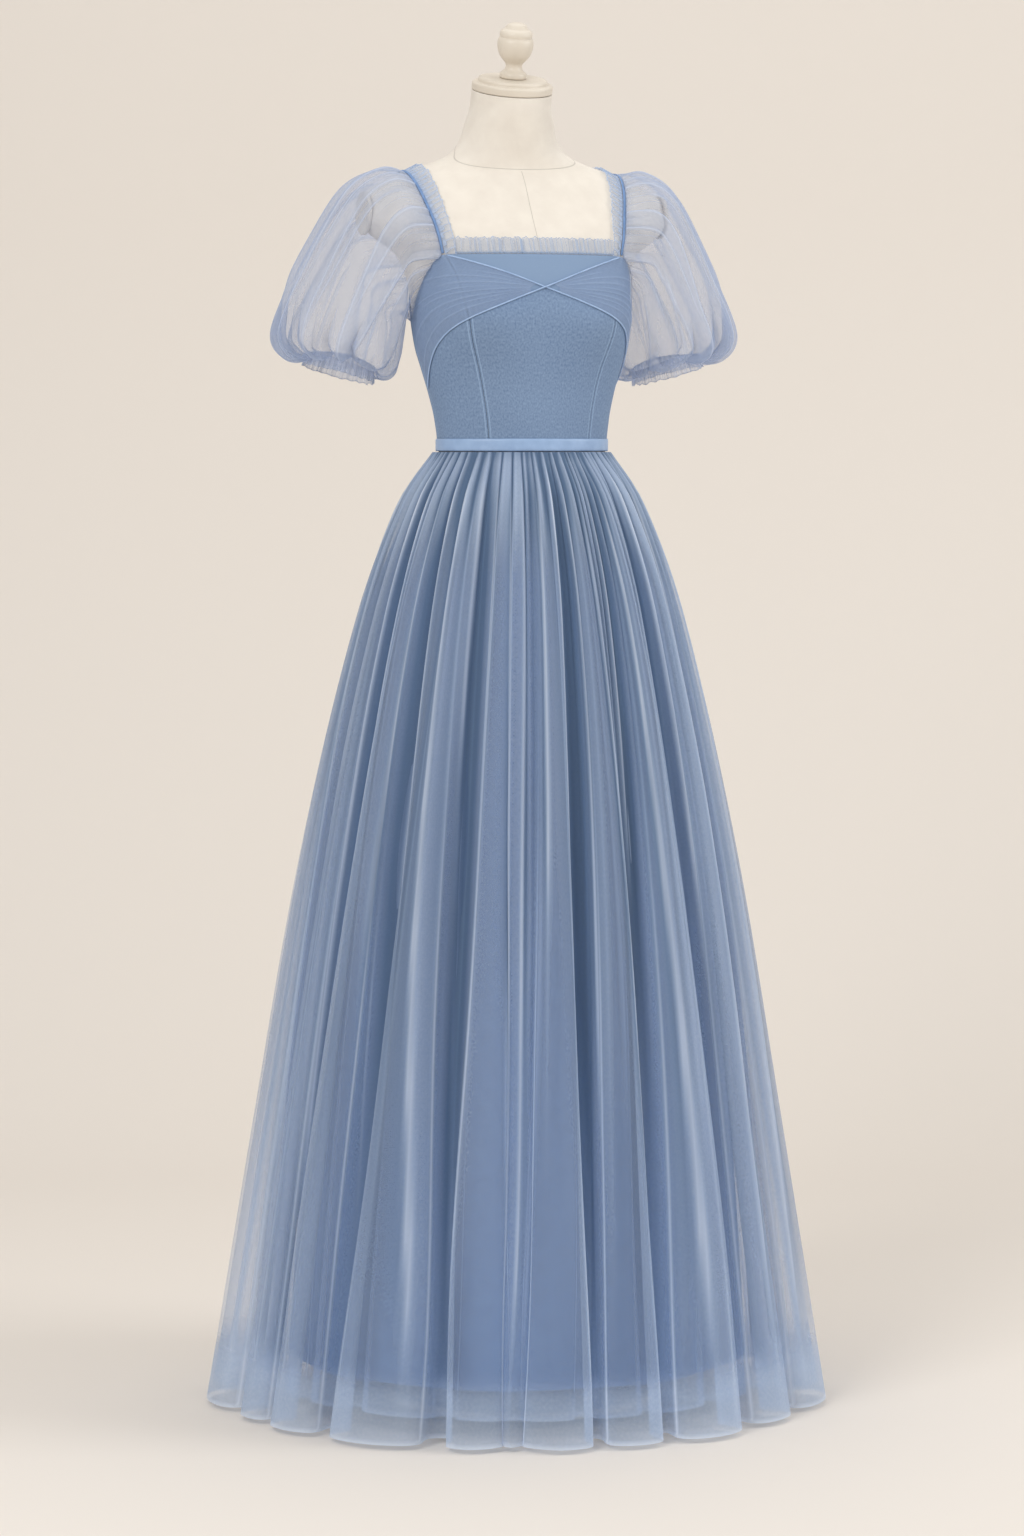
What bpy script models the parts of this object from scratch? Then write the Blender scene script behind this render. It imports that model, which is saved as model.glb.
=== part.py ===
"""Bridesmaid dress on a limbless dress form.

A floor-length gathered tulle gown with puff sleeves stands on a padded torso form with a turned
finial, a pole and a round base. Metres, +Z up. The front faces -Y and the wearer's left is +X.
The origin is the centre of the base's underside, on the floor.

Angles round the body start at the front and grow towards the wearer's left.
"""

import math
from collections import namedtuple

import bpy
import numpy as np

# Driving heights
WAIST_HEIGHT = 1.1425
NECKLINE_HEIGHT = 1.374
BACK_NECKLINE_HEIGHT = 1.400
UNDERARM_HEIGHT = 1.298
FORM_UNDERSIDE = 0.930
OUTER_HEM_HEIGHT = 0.006
MIDDLE_HEM_HEIGHT = 0.026
LINING_HEM_HEIGHT = 0.055
SKIRT_TOP = WAIST_HEIGHT - 0.0009

# Cloth and seams
SEAM_GAP = 0.0003
SEAM_TRIM = 0.00025
CLOTH_GAP = 0.0012
BODICE_WALL = 0.0012
THIN_WALL = 0.0010
PIPING_WALL = 0.0016

# Sections of the padded form, from its underside up
Section = namedtuple("Section", "height half_width front back")
FORM_SECTIONS = (
    Section(0.930, 0.146, -0.096, 0.110),
    Section(0.990, 0.146, -0.095, 0.110),
    Section(1.060, 0.127, -0.088, 0.098),
    Section(1.105, 0.1110, -0.0835, 0.0855),
    Section(1.150, 0.1010, -0.0800, 0.0775),
    Section(1.180, 0.1040, -0.0815, 0.0810),
    Section(1.212, 0.1110, -0.0830, 0.0870),
    Section(1.240, 0.1190, -0.0860, 0.0930),
    Section(1.268, 0.1270, -0.0890, 0.0985),
    Section(1.300, 0.1315, -0.0910, 0.1040),
    Section(1.335, 0.1345, -0.0860, 0.1090),
    Section(1.374, 0.1470, -0.0720, 0.1120),
    Section(1.400, 0.1790, -0.0560, 0.1130),
    Section(1.420, 0.1980, -0.0410, 0.1125),
    Section(1.440, 0.1960, -0.0270, 0.1100),
    Section(1.458, 0.1700, -0.0150, 0.1075),
    Section(1.469, 0.1500, -0.0060, 0.1060),
    Section(1.479, 0.1220, 0.0020, 0.1060),
    Section(1.488, 0.0940, 0.0010, 0.1090),
    Section(1.500, 0.0700, -0.0015, 0.1130),
    Section(1.515, 0.0590, -0.0045, 0.1120),
    Section(1.540, 0.0520, -0.0100, 0.1060),
)
FORM_COLUMNS = 28
FORM_ROWS_BELOW_BUST = (0.930, 0.938, 1.0, 1.06, 1.10, 1.122, 1.1425, 1.158)
FORM_ROWS_AT_BUST = np.linspace(1.188, 1.374, 9)
FORM_ROWS_AT_SHOULDER = (1.392, 1.408, 1.424, 1.442, 1.456, 1.468)
FORM_ROWS_AT_NECK = (1.479, 1.489, 1.502, 1.518, 1.540)
FORM_EDGE_SHARE = 0.96
ARM_PLANE = 0.184
BUST_ANGLE = 37.0
BUST_SPREAD = 23.0
BUST_HEIGHT = 1.297
BUST_REACH = 0.040
BUST_DEPTH = 0.017
FORM_BUST_SHARE = 0.86
NEAR_ANGLE = 0.1
NEAR_HEIGHT = 0.0004

# Neck cap, finial, arm plates, pole and base
NECK_TOP_Y = 0.038
NECK_TOP_HEIGHT = 1.573
NECK_TOP_RADIUS = 0.0485
NECK_TILT = math.radians(14.0)
CAP_SEGMENTS = 28
CAP_PROFILE = (
    (0.0470, 0.0),
    (0.0485, 0.0015),
    (0.0485, 0.0080),
    (0.0465, 0.0100),
    (0.0425, 0.0104),
    (0.0415, 0.0140),
    (0.0390, 0.0155),
)
FINIAL_SEGMENTS = 16
FINIAL_PROFILE = (
    (0.0150, 0.0),
    (0.0162, 0.0022),
    (0.0158, 0.0060),
    (0.0120, 0.0092),
    (0.0098, 0.0140),
    (0.0106, 0.0178),
    (0.0128, 0.0205),
    (0.0180, 0.0270),
    (0.0210, 0.0345),
    (0.0217, 0.0410),
    (0.0206, 0.0470),
    (0.0190, 0.0490),
    (0.0196, 0.0505),
    (0.0194, 0.0545),
    (0.0174, 0.0575),
    (0.0143, 0.0590),
    (0.0110, 0.0636),
    (0.0060, 0.0662),
)
ARM_PLATE_HALF_DEPTH = 0.030
ARM_PLATE_HALF_HEIGHT = 0.026
ARM_PLATE_PROFILE = ((1.0, 0.0), (1.0, 0.0030), (0.95, 0.0040))
ARM_PLATE_SEGMENTS = 20
ARM_PLATE_CENTRE_Y = 0.035
ARM_PLATE_HEIGHT = 1.425
POLE_RADIUS = 0.015
POLE_SEGMENTS = 20
BASE_SEGMENTS = 40
BASE_PROFILE = (
    (0.1600, 0.0),
    (0.1600, 0.0080),
    (0.1570, 0.0110),
    (0.0360, 0.0140),
    (0.0240, 0.0200),
    (0.0220, 0.0400),
)

# Seams round the bodice, as angles at the waist, the bust and the top edge
SeamLine = namedtuple("SeamLine", "waist bust top")
FRONT_PRINCESS = SeamLine(37.0, 39.0, 47.5)
SIDE_SEAM = SeamLine(92.0, 93.0, 96.0)
BACK_PRINCESS = SeamLine(143.0, 141.0, 145.0)
CENTRE_BACK = SeamLine(180.0, 180.0, 180.0)
UNDERARM_ANGLE = 96.0
FRONT_ARMHOLE_CURVE = 1.35
BACK_ARMHOLE_CURVE = 1.1
ZIP_HALF_WIDTH = 0.0016
FRONT_COLUMNS = 11
SIDE_COLUMNS = 6
BACK_COLUMNS = 4
PANEL_ROW_SHARES = (0.20, 0.33, 0.45, 0.55, 0.64, 0.72, 0.80, 0.89, 1.0)

# Waist ribbon
RIBBON_HEIGHT = 0.0155
RIBBON_COLUMNS = 40
RIBBON_END_ANGLE = 179.8

# Cross-over drapes, as points of the lower edge: angle round the body and height
EdgePoint = namedtuple("EdgePoint", "angle height")
CROSS_HEIGHT = 1.335
LOWER_EDGE = (
    EdgePoint(0.0, 1.335),
    EdgePoint(21.0, 1.316),
    EdgePoint(43.5, 1.2935),
    EdgePoint(64.0, 1.266),
    EdgePoint(92.0, 1.214),
)
DRAPE_STEPS = 9
DRAPE_FOLDS = 3
DRAPE_FOLD_HEIGHT = 0.0016
BINDING_HALF_WIDTH = 0.0013
DRAPE_CLEARANCE = 0.0010
DRAPE_ARMHOLE_TRIM = 0.0110
DRAPE_EDGE_TRIM = 0.0022
DRAPE_SIDE_TRIM = 2.0
DRAPE_LOWER_TRIM = 0.0026
DRAPE_UPPER_TRIM = 0.0023
DRAPE_START = 0.10
DRAPE_SIDE_SHARE = 0.52
DRAPE_FOLD_END = 0.92
BINDING_STEPS = 18
BINDING_END_TRIM = 1.2
BINDING_DROP = 0.0004
CROSSING_HALF_LENGTH = 0.014

# Straps and ruffles: the strap runs from the front corner (angle below zero) over the shoulder
SHOULDER_Y = 0.045
SHOULDER_HEIGHT = 1.400
SHOULDER_SEARCH = 0.14
SEARCH_STEPS = 40
STRAP_FRONT_ANGLE = -105.2
STRAP_BACK_ANGLE = 89.0
StrapLine = namedtuple("StrapLine", "front top back")
PIPING_OUTER = StrapLine(0.1118, 0.1350, 0.1125)
PIPING_INNER = StrapLine(0.1088, 0.1320, 0.1095)
RUFFLE_OUTER = StrapLine(0.1084, 0.1316, 0.1091)
RUFFLE_INNER = StrapLine(0.0960, 0.1120, 0.0960)
STRAP_STEPS = 16
STRAP_LIFT = 0.0011
STRAP_ARCH = 1.5
STRAP_WAVES = 14
STRAP_WAVE_HEIGHT = 0.0009
STRAP_RUFFLE_LIFT = 0.0022
NECKLINE_RUFFLE_WIDTH = 0.018
NECKLINE_RUFFLE_END = 0.0945
NECKLINE_WAVES = 26
NECKLINE_WAVE_HEIGHT = 0.0010
NECKLINE_GATHERED_SHARE = 0.35

# Sleeve rings from the crown to the cuff: the outer and inner ends of each ring in the plane
# across the body, the middle and half size of the ring from front to back, and its fold height
SleeveRing = namedtuple(
    "SleeveRing", "outer_x outer_z inner_x inner_z centre_y half_depth fold"
)
SLEEVE_RINGS = (
    SleeveRing(0.1620, 1.4840, 0.1395, 1.3060, 0.050, 0.0980, 0.0022),
    SleeveRing(0.2010, 1.4560, 0.1385, 1.2850, 0.053, 0.0970, 0.0028),
    SleeveRing(0.2370, 1.4000, 0.1385, 1.2670, 0.058, 0.0940, 0.0032),
    SleeveRing(0.2700, 1.3350, 0.1390, 1.2500, 0.063, 0.0900, 0.0036),
    SleeveRing(0.2830, 1.2820, 0.1430, 1.2350, 0.066, 0.0830, 0.0036),
    SleeveRing(0.2700, 1.2590, 0.1500, 1.2290, 0.067, 0.0710, 0.0032),
    SleeveRing(0.2530, 1.2540, 0.1600, 1.2300, 0.067, 0.0540, 0.0016),
    SleeveRing(0.2465, 1.2620, 0.1635, 1.2390, 0.067, 0.0435, 0.0006),
)
SLEEVE_WAVES = 12
SLEEVE_COLUMNS = SLEEVE_WAVES * 3
HEAD_FOLD = 0.0006
SMOOTH_FROM = 0.45
SMOOTHED_SHARE = 0.85
ARMHOLE_LIFT = 0.0013
ARMHOLE_STRAP_TRIM = 3.0
ARMHOLE_STRAP_GAP = 0.0015
ARMHOLE_MIDDLE_X = 0.10
UNDERARM_LIFT = 0.0029
ARMHOLE_SPREAD = 1.013
CUFF_WAVES = 14
CUFF_FRILL_INSET = 0.0023
CUFF_FRILL_WIDTH = 0.0165
CUFF_FRILL_FLARE = 0.0035
CUFF_WAVE_HEIGHT = 0.0018
CUFF_GATHERED_SHARE = 0.25

# Skirt layers, from the hem up: the middle of the folded wall, and the height of its folds.
# Gathers are the small waves at the waist, flutes the large ones that they fall into.
SkirtSection = namedtuple(
    "SkirtSection", "height half_width front back gather flute"
)
OUTER_SKIRT = (
    SkirtSection(OUTER_HEM_HEIGHT, 0.3458, -0.322, 0.364, 0.0, 0.0210),
    SkirtSection(0.340, 0.2965, -0.276, 0.310, 0.0, 0.0170),
    SkirtSection(0.660, 0.2465, -0.229, 0.256, 0.0002, 0.0125),
    SkirtSection(0.950, 0.1865, -0.172, 0.188, 0.0010, 0.0060),
    SkirtSection(1.090, 0.1375, -0.120, 0.125, 0.0016, 0.0020),
    SkirtSection(SKIRT_TOP, 0.1060, -0.0850, 0.0832, 0.0010, 0.0),
)
MIDDLE_SKIRT = (
    SkirtSection(MIDDLE_HEM_HEIGHT, 0.2990, -0.277, 0.315, 0.0, 0.0100),
    SkirtSection(0.500, 0.2580, -0.2395, 0.2680, 0.0, 0.0080),
    SkirtSection(0.950, 0.1785, -0.1640, 0.1790, 0.0, 0.0030),
    SkirtSection(SKIRT_TOP, 0.1038, -0.0828, 0.0810, 0.0, 0.0),
)
LINING_SKIRT = (
    SkirtSection(LINING_HEM_HEIGHT, 0.2740, -0.252, 0.289, 0.0, 0.0040),
    SkirtSection(0.500, 0.2420, -0.223, 0.252, 0.0, 0.0030),
    SkirtSection(0.950, 0.1700, -0.155, 0.170, 0.0, 0.0005),
    SkirtSection(SKIRT_TOP, 0.1025, -0.0815, 0.0797, 0.0, 0.0),
)
Flute = namedtuple("Flute", "width depth")
FIRST_FLUTE_ANGLE = -84.7
FRONT_FLUTES = (
    Flute(11.9, 0.80),
    Flute(15.6, 1.00),
    Flute(23.6, 1.20),
    Flute(15.6, 0.75),
    Flute(15.6, 0.85),
    Flute(14.7, 0.95),
    Flute(19.0, 1.15),
    Flute(17.4, 0.85),
    Flute(23.3, 1.20),
    Flute(20.0, 1.00),
)
BACK_FLUTES = (
    Flute(14.0, 0.85),
    Flute(22.0, 1.15),
    Flute(16.0, 0.90),
    Flute(19.0, 1.05),
    Flute(13.0, 0.75),
    Flute(21.0, 1.10),
    Flute(17.0, 1.00),
    Flute(15.0, 0.85),
    Flute(23.0, 1.15),
    Flute(23.3, 1.20),
)
OUTER_STEPS = 9
MIDDLE_STEPS = 4
GATHERS_PER_FLUTE = 3
WALL_STEEPNESS = 0.28
EVEN_SHARE_AT_WAIST = 0.5
LINING_COLUMNS = 16
LINING_WAVES = 4

# Zip at the centre back, in the slider's own frame: x across, y out of the cloth, z up the back
ZIP_BOTTOM = 1.1600
ZIP_TOP = 1.3960
COIL_ROWS = 9
COIL_HALF_WIDTH = 0.0012
SLIDER_HEIGHT = 1.3850
SLIDER_HALF_WIDTH = 0.0028
SLIDER_HALF_LENGTH = 0.0042
SLIDER_FRONT = 0.0025
BAIL_HALF_WIDTH = 0.0009
BAIL_HALF_LENGTH = 0.0036
BAIL_ROOT = 0.0008
BAIL_TOP = 0.0053
BAIL_BAR = 0.0011
PULL_AXIS_Y = 0.0034
PULL_AXIS_Z = -0.0015
PULL_HALF_THICKNESS = 0.0005
PULL_HALF_WIDTH = 0.0028
PULL_LENGTH = 0.0240
PULL_END_POINTS = 9
WINDOW_HALF_WIDTH = 0.0014
WINDOW_LENGTH = 0.0058

# Colours as red, green and blue, with roughness and metallic value
Finish = namedtuple("Finish", "colour roughness metallic")
FINISHES = {
    "bodice_mesh": Finish((0.24, 0.37, 0.58), 0.70, 0.0),
    "drape_tulle": Finish((0.28, 0.41, 0.62), 0.75, 0.0),
    "skirt_tulle": Finish((0.30, 0.43, 0.63), 0.80, 0.0),
    "sleeve_tulle": Finish((0.42, 0.54, 0.72), 0.80, 0.0),
    "skirt_lining": Finish((0.16, 0.28, 0.47), 0.60, 0.0),
    "satin_ribbon": Finish((0.20, 0.33, 0.53), 0.30, 0.0),
    "piping": Finish((0.14, 0.27, 0.48), 0.55, 0.0),
    "form_linen": Finish((0.88, 0.81, 0.70), 0.85, 0.0),
    "cream_paint": Finish((0.84, 0.76, 0.65), 0.40, 0.0),
    "stand_metal": Finish((0.80, 0.75, 0.68), 0.35, 0.6),
    "zip_metal": Finish((0.45, 0.55, 0.70), 0.35, 0.8),
}


def clear_scene():
    for existing in list(bpy.data.objects):
        bpy.data.objects.remove(existing, do_unlink=True)


def make_materials():
    made = {}
    for name, finish in FINISHES.items():
        material = bpy.data.materials.new(name)
        material.use_nodes = True
        shader = material.node_tree.nodes["Principled BSDF"]
        shader.inputs["Base Color"].default_value = (*finish.colour, 1.0)
        shader.inputs["Roughness"].default_value = finish.roughness
        shader.inputs["Metallic"].default_value = finish.metallic
        made[name] = material
    return made


def table_curve(table, column, at):
    """A column of a table at the places given, on a smooth curve that doesn't overshoot its rows."""
    at = np.asarray(at, float)
    places = np.array([row[0] for row in table])
    values = np.array([getattr(row, column) for row in table])
    steps = np.diff(places)
    slopes = np.diff(values) / steps
    tangents = np.zeros(len(values))
    tangents[0], tangents[-1] = slopes[0], slopes[-1]
    rising = slopes[:-1] * slopes[1:] > 0
    pairs = np.where(rising, slopes[:-1] + slopes[1:], 1.0)
    tangents[1:-1] = np.where(rising, 2 * slopes[:-1] * slopes[1:] / pairs, 0.0)
    low = np.clip(np.searchsorted(places, at) - 1, 0, len(places) - 2)
    t = np.clip((at - places[low]) / steps[low], 0.0, 1.0)
    start = (1 + 2 * t) * (1 - t) ** 2 * values[low]
    end = t**2 * (3 - 2 * t) * values[low + 1]
    start_pull = t * (1 - t) ** 2 * steps[low] * tangents[low]
    end_pull = t**2 * (t - 1) * steps[low] * tangents[low + 1]
    return start + end + start_pull + end_pull


def form_section(height):
    """Half width, middle and half depth of the form at a height."""
    half_width = table_curve(FORM_SECTIONS, "half_width", height)
    front = table_curve(FORM_SECTIONS, "front", height)
    back = table_curve(FORM_SECTIONS, "back", height)
    return half_width, (front + back) / 2, (back - front) / 2


def form_surface(angle, height, bust_share=1.0):
    """Points of the form's oval sections, with the two rounds of the bust added outwards."""
    angle, height = np.broadcast_arrays(np.asarray(angle, float), height)
    turn = np.radians(angle)
    half_width, middle, half_depth = form_section(height)
    beside = (np.abs(angle) - BUST_ANGLE) / BUST_SPREAD
    above = (height - BUST_HEIGHT) / BUST_REACH
    bust = bust_share * BUST_DEPTH * np.exp(-(beside**2) - above**2)
    x = (half_width + bust * np.abs(np.sin(turn))) * np.sin(turn)
    y = middle - (half_depth + bust * np.cos(turn)) * np.cos(turn)
    return np.stack([np.clip(x, -ARM_PLANE, ARM_PLANE), y, height], axis=-1)


def off_form(angle, height, gap):
    """Points a gap away from the form, along its normal."""
    angle, height = np.broadcast_arrays(np.asarray(angle, float), height)
    across = form_surface(angle + NEAR_ANGLE, height) - form_surface(angle - NEAR_ANGLE, height)
    up = form_surface(angle, height + NEAR_HEIGHT) - form_surface(angle, height - NEAR_HEIGHT)
    normal = np.cross(across, up)
    normal /= np.linalg.norm(normal, axis=-1, keepdims=True)
    return form_surface(angle, height) + normal * np.asarray(gap)[..., None]


def grid_triangles(rows, columns, closed):
    """Two triangles for each cell of a grid, all cut the same way."""
    last = columns if closed else columns - 1
    row, column = np.meshgrid(np.arange(rows - 1), np.arange(last), indexing="ij")
    a = row * columns + column
    b = row * columns + (column + 1) % columns
    c, d = b + columns, a + columns
    return np.stack([a, b, c, a, c, d], axis=-1).reshape(-1, 3).tolist()


def grid_normals(grid, closed):
    if closed:
        across = np.roll(grid, -1, axis=1) - np.roll(grid, 1, axis=1)
    else:
        across = np.gradient(grid, axis=1)
    normals = np.cross(across, np.gradient(grid, axis=0))
    return normals / np.linalg.norm(normals, axis=-1, keepdims=True)


def add_object(name, points, faces, material, smooth_angle=50.0):
    mesh = bpy.data.meshes.new(name)
    mesh.from_pydata(np.asarray(points).reshape(-1, 3).tolist(), [], faces)
    mesh.materials.append(material)
    mesh.shade_smooth()
    mesh.set_sharp_from_angle(angle=math.radians(smooth_angle))
    thing = bpy.data.objects.new(name, mesh)
    bpy.context.scene.collection.objects.link(thing)
    return thing


def add_cloth(name, grid, wall, material, closed=False, other_side=False):
    """A sheet through the grid, given its wall outwards. Rows run up and columns to the left.

    On the body's other side the points are mirrored and each triangle is turned round.
    """
    rows, columns = grid.shape[:2]
    faces = grid_triangles(rows, columns, closed)
    if other_side:
        grid = grid * np.array([-1.0, 1.0, 1.0])
        faces = [face[::-1] for face in faces]
    sheet = add_object(name, grid, faces, material)
    thicken = sheet.modifiers.new("wall", "SOLIDIFY")
    thicken.thickness = wall
    thicken.offset = 1.0
    thicken.use_even_offset = False


def add_pair(name, grid, wall, material, closed=False):
    """The wearer's left piece and its mirrored right piece."""
    add_cloth(name + "_left", grid, wall, material, closed)
    add_cloth(name + "_right", grid, wall, material, closed, other_side=True)


def add_capped(name, rings, material):
    """A solid through closed rings from bottom to top, with flat ends."""
    rows, columns = rings.shape[:2]
    faces = grid_triangles(rows, columns, closed=True)
    faces.append(list(range(columns))[::-1])
    faces.append([(rows - 1) * columns + i for i in range(columns)])
    return add_object(name, rings, faces, material)


def turned_rings(profile, segments):
    """Rings of a turned shape from its profile of radius and height."""
    turn = np.radians(np.arange(segments) * 360.0 / segments)
    radius, height = np.array(profile).T
    x = radius[:, None] * np.sin(turn)
    y = -radius[:, None] * np.cos(turn)
    return np.stack([x, y, np.broadcast_to(height[:, None], x.shape)], axis=-1)


def build_form(materials):
    rows = (FORM_ROWS_BELOW_BUST, FORM_ROWS_AT_BUST, FORM_ROWS_AT_SHOULDER, FORM_ROWS_AT_NECK)
    height = np.concatenate(rows)[:, None]
    angle = np.arange(FORM_COLUMNS) * 360.0 / FORM_COLUMNS
    angle = np.where(angle > 180.0, angle - 360.0, angle)[None, :]
    rings = form_surface(angle, height, FORM_BUST_SHARE)
    rings[0] *= np.array([FORM_EDGE_SHARE, FORM_EDGE_SHARE, 1.0])
    turn = np.radians(angle[0])
    x = NECK_TOP_RADIUS * np.sin(turn)
    lean = -NECK_TOP_RADIUS * np.cos(turn)
    y = NECK_TOP_Y + lean * math.cos(NECK_TILT)
    z = NECK_TOP_HEIGHT + lean * math.sin(NECK_TILT)
    top = np.stack([x, y, z], axis=-1)
    add_capped("form_torso", np.concatenate([rings, top[None]]), materials["form_linen"])

    normal = np.array([0.0, -math.sin(NECK_TILT), math.cos(NECK_TILT)])
    neck_top = np.array([0.0, NECK_TOP_Y, NECK_TOP_HEIGHT])
    cap = add_capped("neck_cap", turned_rings(CAP_PROFILE, CAP_SEGMENTS), materials["cream_paint"])
    cap.location = neck_top + normal * SEAM_GAP
    cap.rotation_euler = (NECK_TILT, 0.0, 0.0)
    finial = add_capped("finial", turned_rings(FINIAL_PROFILE, FINIAL_SEGMENTS), materials["cream_paint"])
    finial.location = neck_top + normal * (CAP_PROFILE[-1][1] + 2 * SEAM_GAP)
    finial.rotation_euler = (NECK_TILT, 0.0, 0.0)

    for side, name in ((1, "arm_plate_left"), (-1, "arm_plate_right")):
        rings = turned_rings(ARM_PLATE_PROFILE, ARM_PLATE_SEGMENTS)
        rings *= np.array([ARM_PLATE_HALF_HEIGHT, ARM_PLATE_HALF_DEPTH, 1.0])
        plate = add_capped(name, rings, materials["cream_paint"])
        plate.location = (side * (ARM_PLANE + SEAM_GAP), ARM_PLATE_CENTRE_Y, ARM_PLATE_HEIGHT)
        plate.rotation_euler = (0.0, side * math.pi / 2, 0.0)

    base_top = BASE_PROFILE[-1][1]
    add_capped("stand_base", turned_rings(BASE_PROFILE, BASE_SEGMENTS), materials["stand_metal"])
    pole = ((POLE_RADIUS, base_top + SEAM_GAP), (POLE_RADIUS, FORM_UNDERSIDE - SEAM_GAP))
    add_capped("pole", turned_rings(pole, POLE_SEGMENTS), materials["stand_metal"])


def seam_angle(seam, height):
    """A seam's angle at a height, bent through the waist, the bust and the top edge."""
    heights = (WAIST_HEIGHT, BUST_HEIGHT, NECKLINE_HEIGHT)
    return np.interp(height, heights, (seam.waist, seam.bust, seam.top))


def bodice_top(angle):
    """Height of the bodice's top edge: straight in front and behind, and hollowed at each armhole."""
    angle = np.abs(angle)
    front = np.clip((UNDERARM_ANGLE - angle) / (UNDERARM_ANGLE - FRONT_PRINCESS.top), 0, 1)
    back = np.clip((angle - UNDERARM_ANGLE) / (BACK_PRINCESS.top - UNDERARM_ANGLE), 0, 1)
    rise_front = (NECKLINE_HEIGHT - UNDERARM_HEIGHT) * (1 - (1 - front) ** FRONT_ARMHOLE_CURVE)
    rise_back = (BACK_NECKLINE_HEIGHT - UNDERARM_HEIGHT) * back**BACK_ARMHOLE_CURVE
    return UNDERARM_HEIGHT + np.where(angle < UNDERARM_ANGLE, rise_front, rise_back)


def bodice_panel(start, end, columns, start_trim, end_trim):
    """Grid of a bodice panel between two seams, each edge trimmed back by a width in metres."""
    share = np.linspace(0.0, 1.0, columns)[None, :]
    up = np.array(PANEL_ROW_SHARES)[:, None]
    top = bodice_top(start.top + (end.top - start.top) * share)
    height = WAIST_HEIGHT + up * (top - WAIST_HEIGHT)
    ribbon = WAIST_HEIGHT + np.array([0.0, RIBBON_HEIGHT])[:, None] * np.ones_like(share)
    height = np.concatenate([ribbon, height])
    half_width, _, half_depth = form_section(height)
    per_metre = 180.0 / (np.pi * (half_width + half_depth) / 2)
    first = seam_angle(start, height) + start_trim * per_metre
    last = seam_angle(end, height) - end_trim * per_metre
    return off_form(first + (last - first) * share, height, CLOTH_GAP)


def build_bodice(materials):
    cloth = materials["bodice_mesh"]
    other_front = SeamLine(*(-value for value in FRONT_PRINCESS))
    front = bodice_panel(other_front, FRONT_PRINCESS, FRONT_COLUMNS, SEAM_TRIM, SEAM_TRIM)
    add_cloth("bodice_front_centre", front, BODICE_WALL, cloth)
    panels = (
        ("bodice_front_side", bodice_panel(FRONT_PRINCESS, SIDE_SEAM, SIDE_COLUMNS, SEAM_TRIM, SEAM_TRIM)),
        ("bodice_back_side", bodice_panel(SIDE_SEAM, BACK_PRINCESS, SIDE_COLUMNS, SEAM_TRIM, SEAM_TRIM)),
        ("bodice_back", bodice_panel(BACK_PRINCESS, CENTRE_BACK, BACK_COLUMNS, SEAM_TRIM, ZIP_HALF_WIDTH)),
    )
    for name, grid in panels:
        add_pair(name, grid, BODICE_WALL, cloth)

    angle = np.linspace(-RIBBON_END_ANGLE, RIBBON_END_ANGLE, RIBBON_COLUMNS + 1)[None, :]
    height = WAIST_HEIGHT + np.array([0.0, RIBBON_HEIGHT])[:, None]
    ribbon = off_form(angle, height, CLOTH_GAP + BODICE_WALL + 2 * SEAM_GAP)
    add_cloth("waist_ribbon", ribbon, THIN_WALL, materials["satin_ribbon"])


def upper_edge_height(angle):
    """Height of the straight edge from the crossing to the front corner of the neckline."""
    share = np.sin(np.radians(angle)) / math.sin(math.radians(FRONT_PRINCESS.top))
    return CROSS_HEIGHT + (NECKLINE_HEIGHT - CROSS_HEIGHT) * share


def drape_grid():
    """Grid of the wearer's left drape: a patch between its lower, upper and outer edges."""
    along = np.linspace(DRAPE_START, 1.0, DRAPE_STEPS + 1)[None, :]
    across = np.linspace(0.0, 1.0, DRAPE_STEPS + 1)[:, None]
    side_angle = LOWER_EDGE[-1].angle - DRAPE_SIDE_TRIM
    low_angle = along * side_angle
    low = table_curve(LOWER_EDGE, "height", low_angle) + DRAPE_LOWER_TRIM
    high_angle = along * FRONT_PRINCESS.top
    high = upper_edge_height(high_angle) - DRAPE_UPPER_TRIM
    side = np.clip(across / DRAPE_SIDE_SHARE, 0.0, 1.0)
    over = np.clip((across - DRAPE_SIDE_SHARE) / (1.0 - DRAPE_SIDE_SHARE), 0.0, 1.0)
    outer_angle = side_angle + over * (FRONT_PRINCESS.top - side_angle)
    outer_low = LOWER_EDGE[-1].height + DRAPE_LOWER_TRIM
    outer_trim = DRAPE_ARMHOLE_TRIM + over * (DRAPE_EDGE_TRIM - DRAPE_ARMHOLE_TRIM)
    side_top = bodice_top(side_angle) - DRAPE_ARMHOLE_TRIM
    up_the_side = outer_low + side * (side_top - outer_low)
    outer = np.where(over > 0, bodice_top(outer_angle) - outer_trim, up_the_side)
    straight_angle = side_angle + across * (FRONT_PRINCESS.top - side_angle)
    straight = outer_low + across * (bodice_top(FRONT_PRINCESS.top) - DRAPE_EDGE_TRIM - outer_low)
    angle = (1 - across) * low_angle + across * high_angle + along * (outer_angle - straight_angle)
    height = (1 - across) * low + across * high + along * (outer - straight)
    fold = np.sin(np.pi * across) * np.sin(np.pi * DRAPE_FOLDS * across) ** 2
    fold = DRAPE_FOLD_HEIGHT * fold * np.sin(np.pi * np.clip(along, 0.0, DRAPE_FOLD_END))
    return off_form(angle, height, CLOTH_GAP + BODICE_WALL + DRAPE_CLEARANCE + fold)


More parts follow.
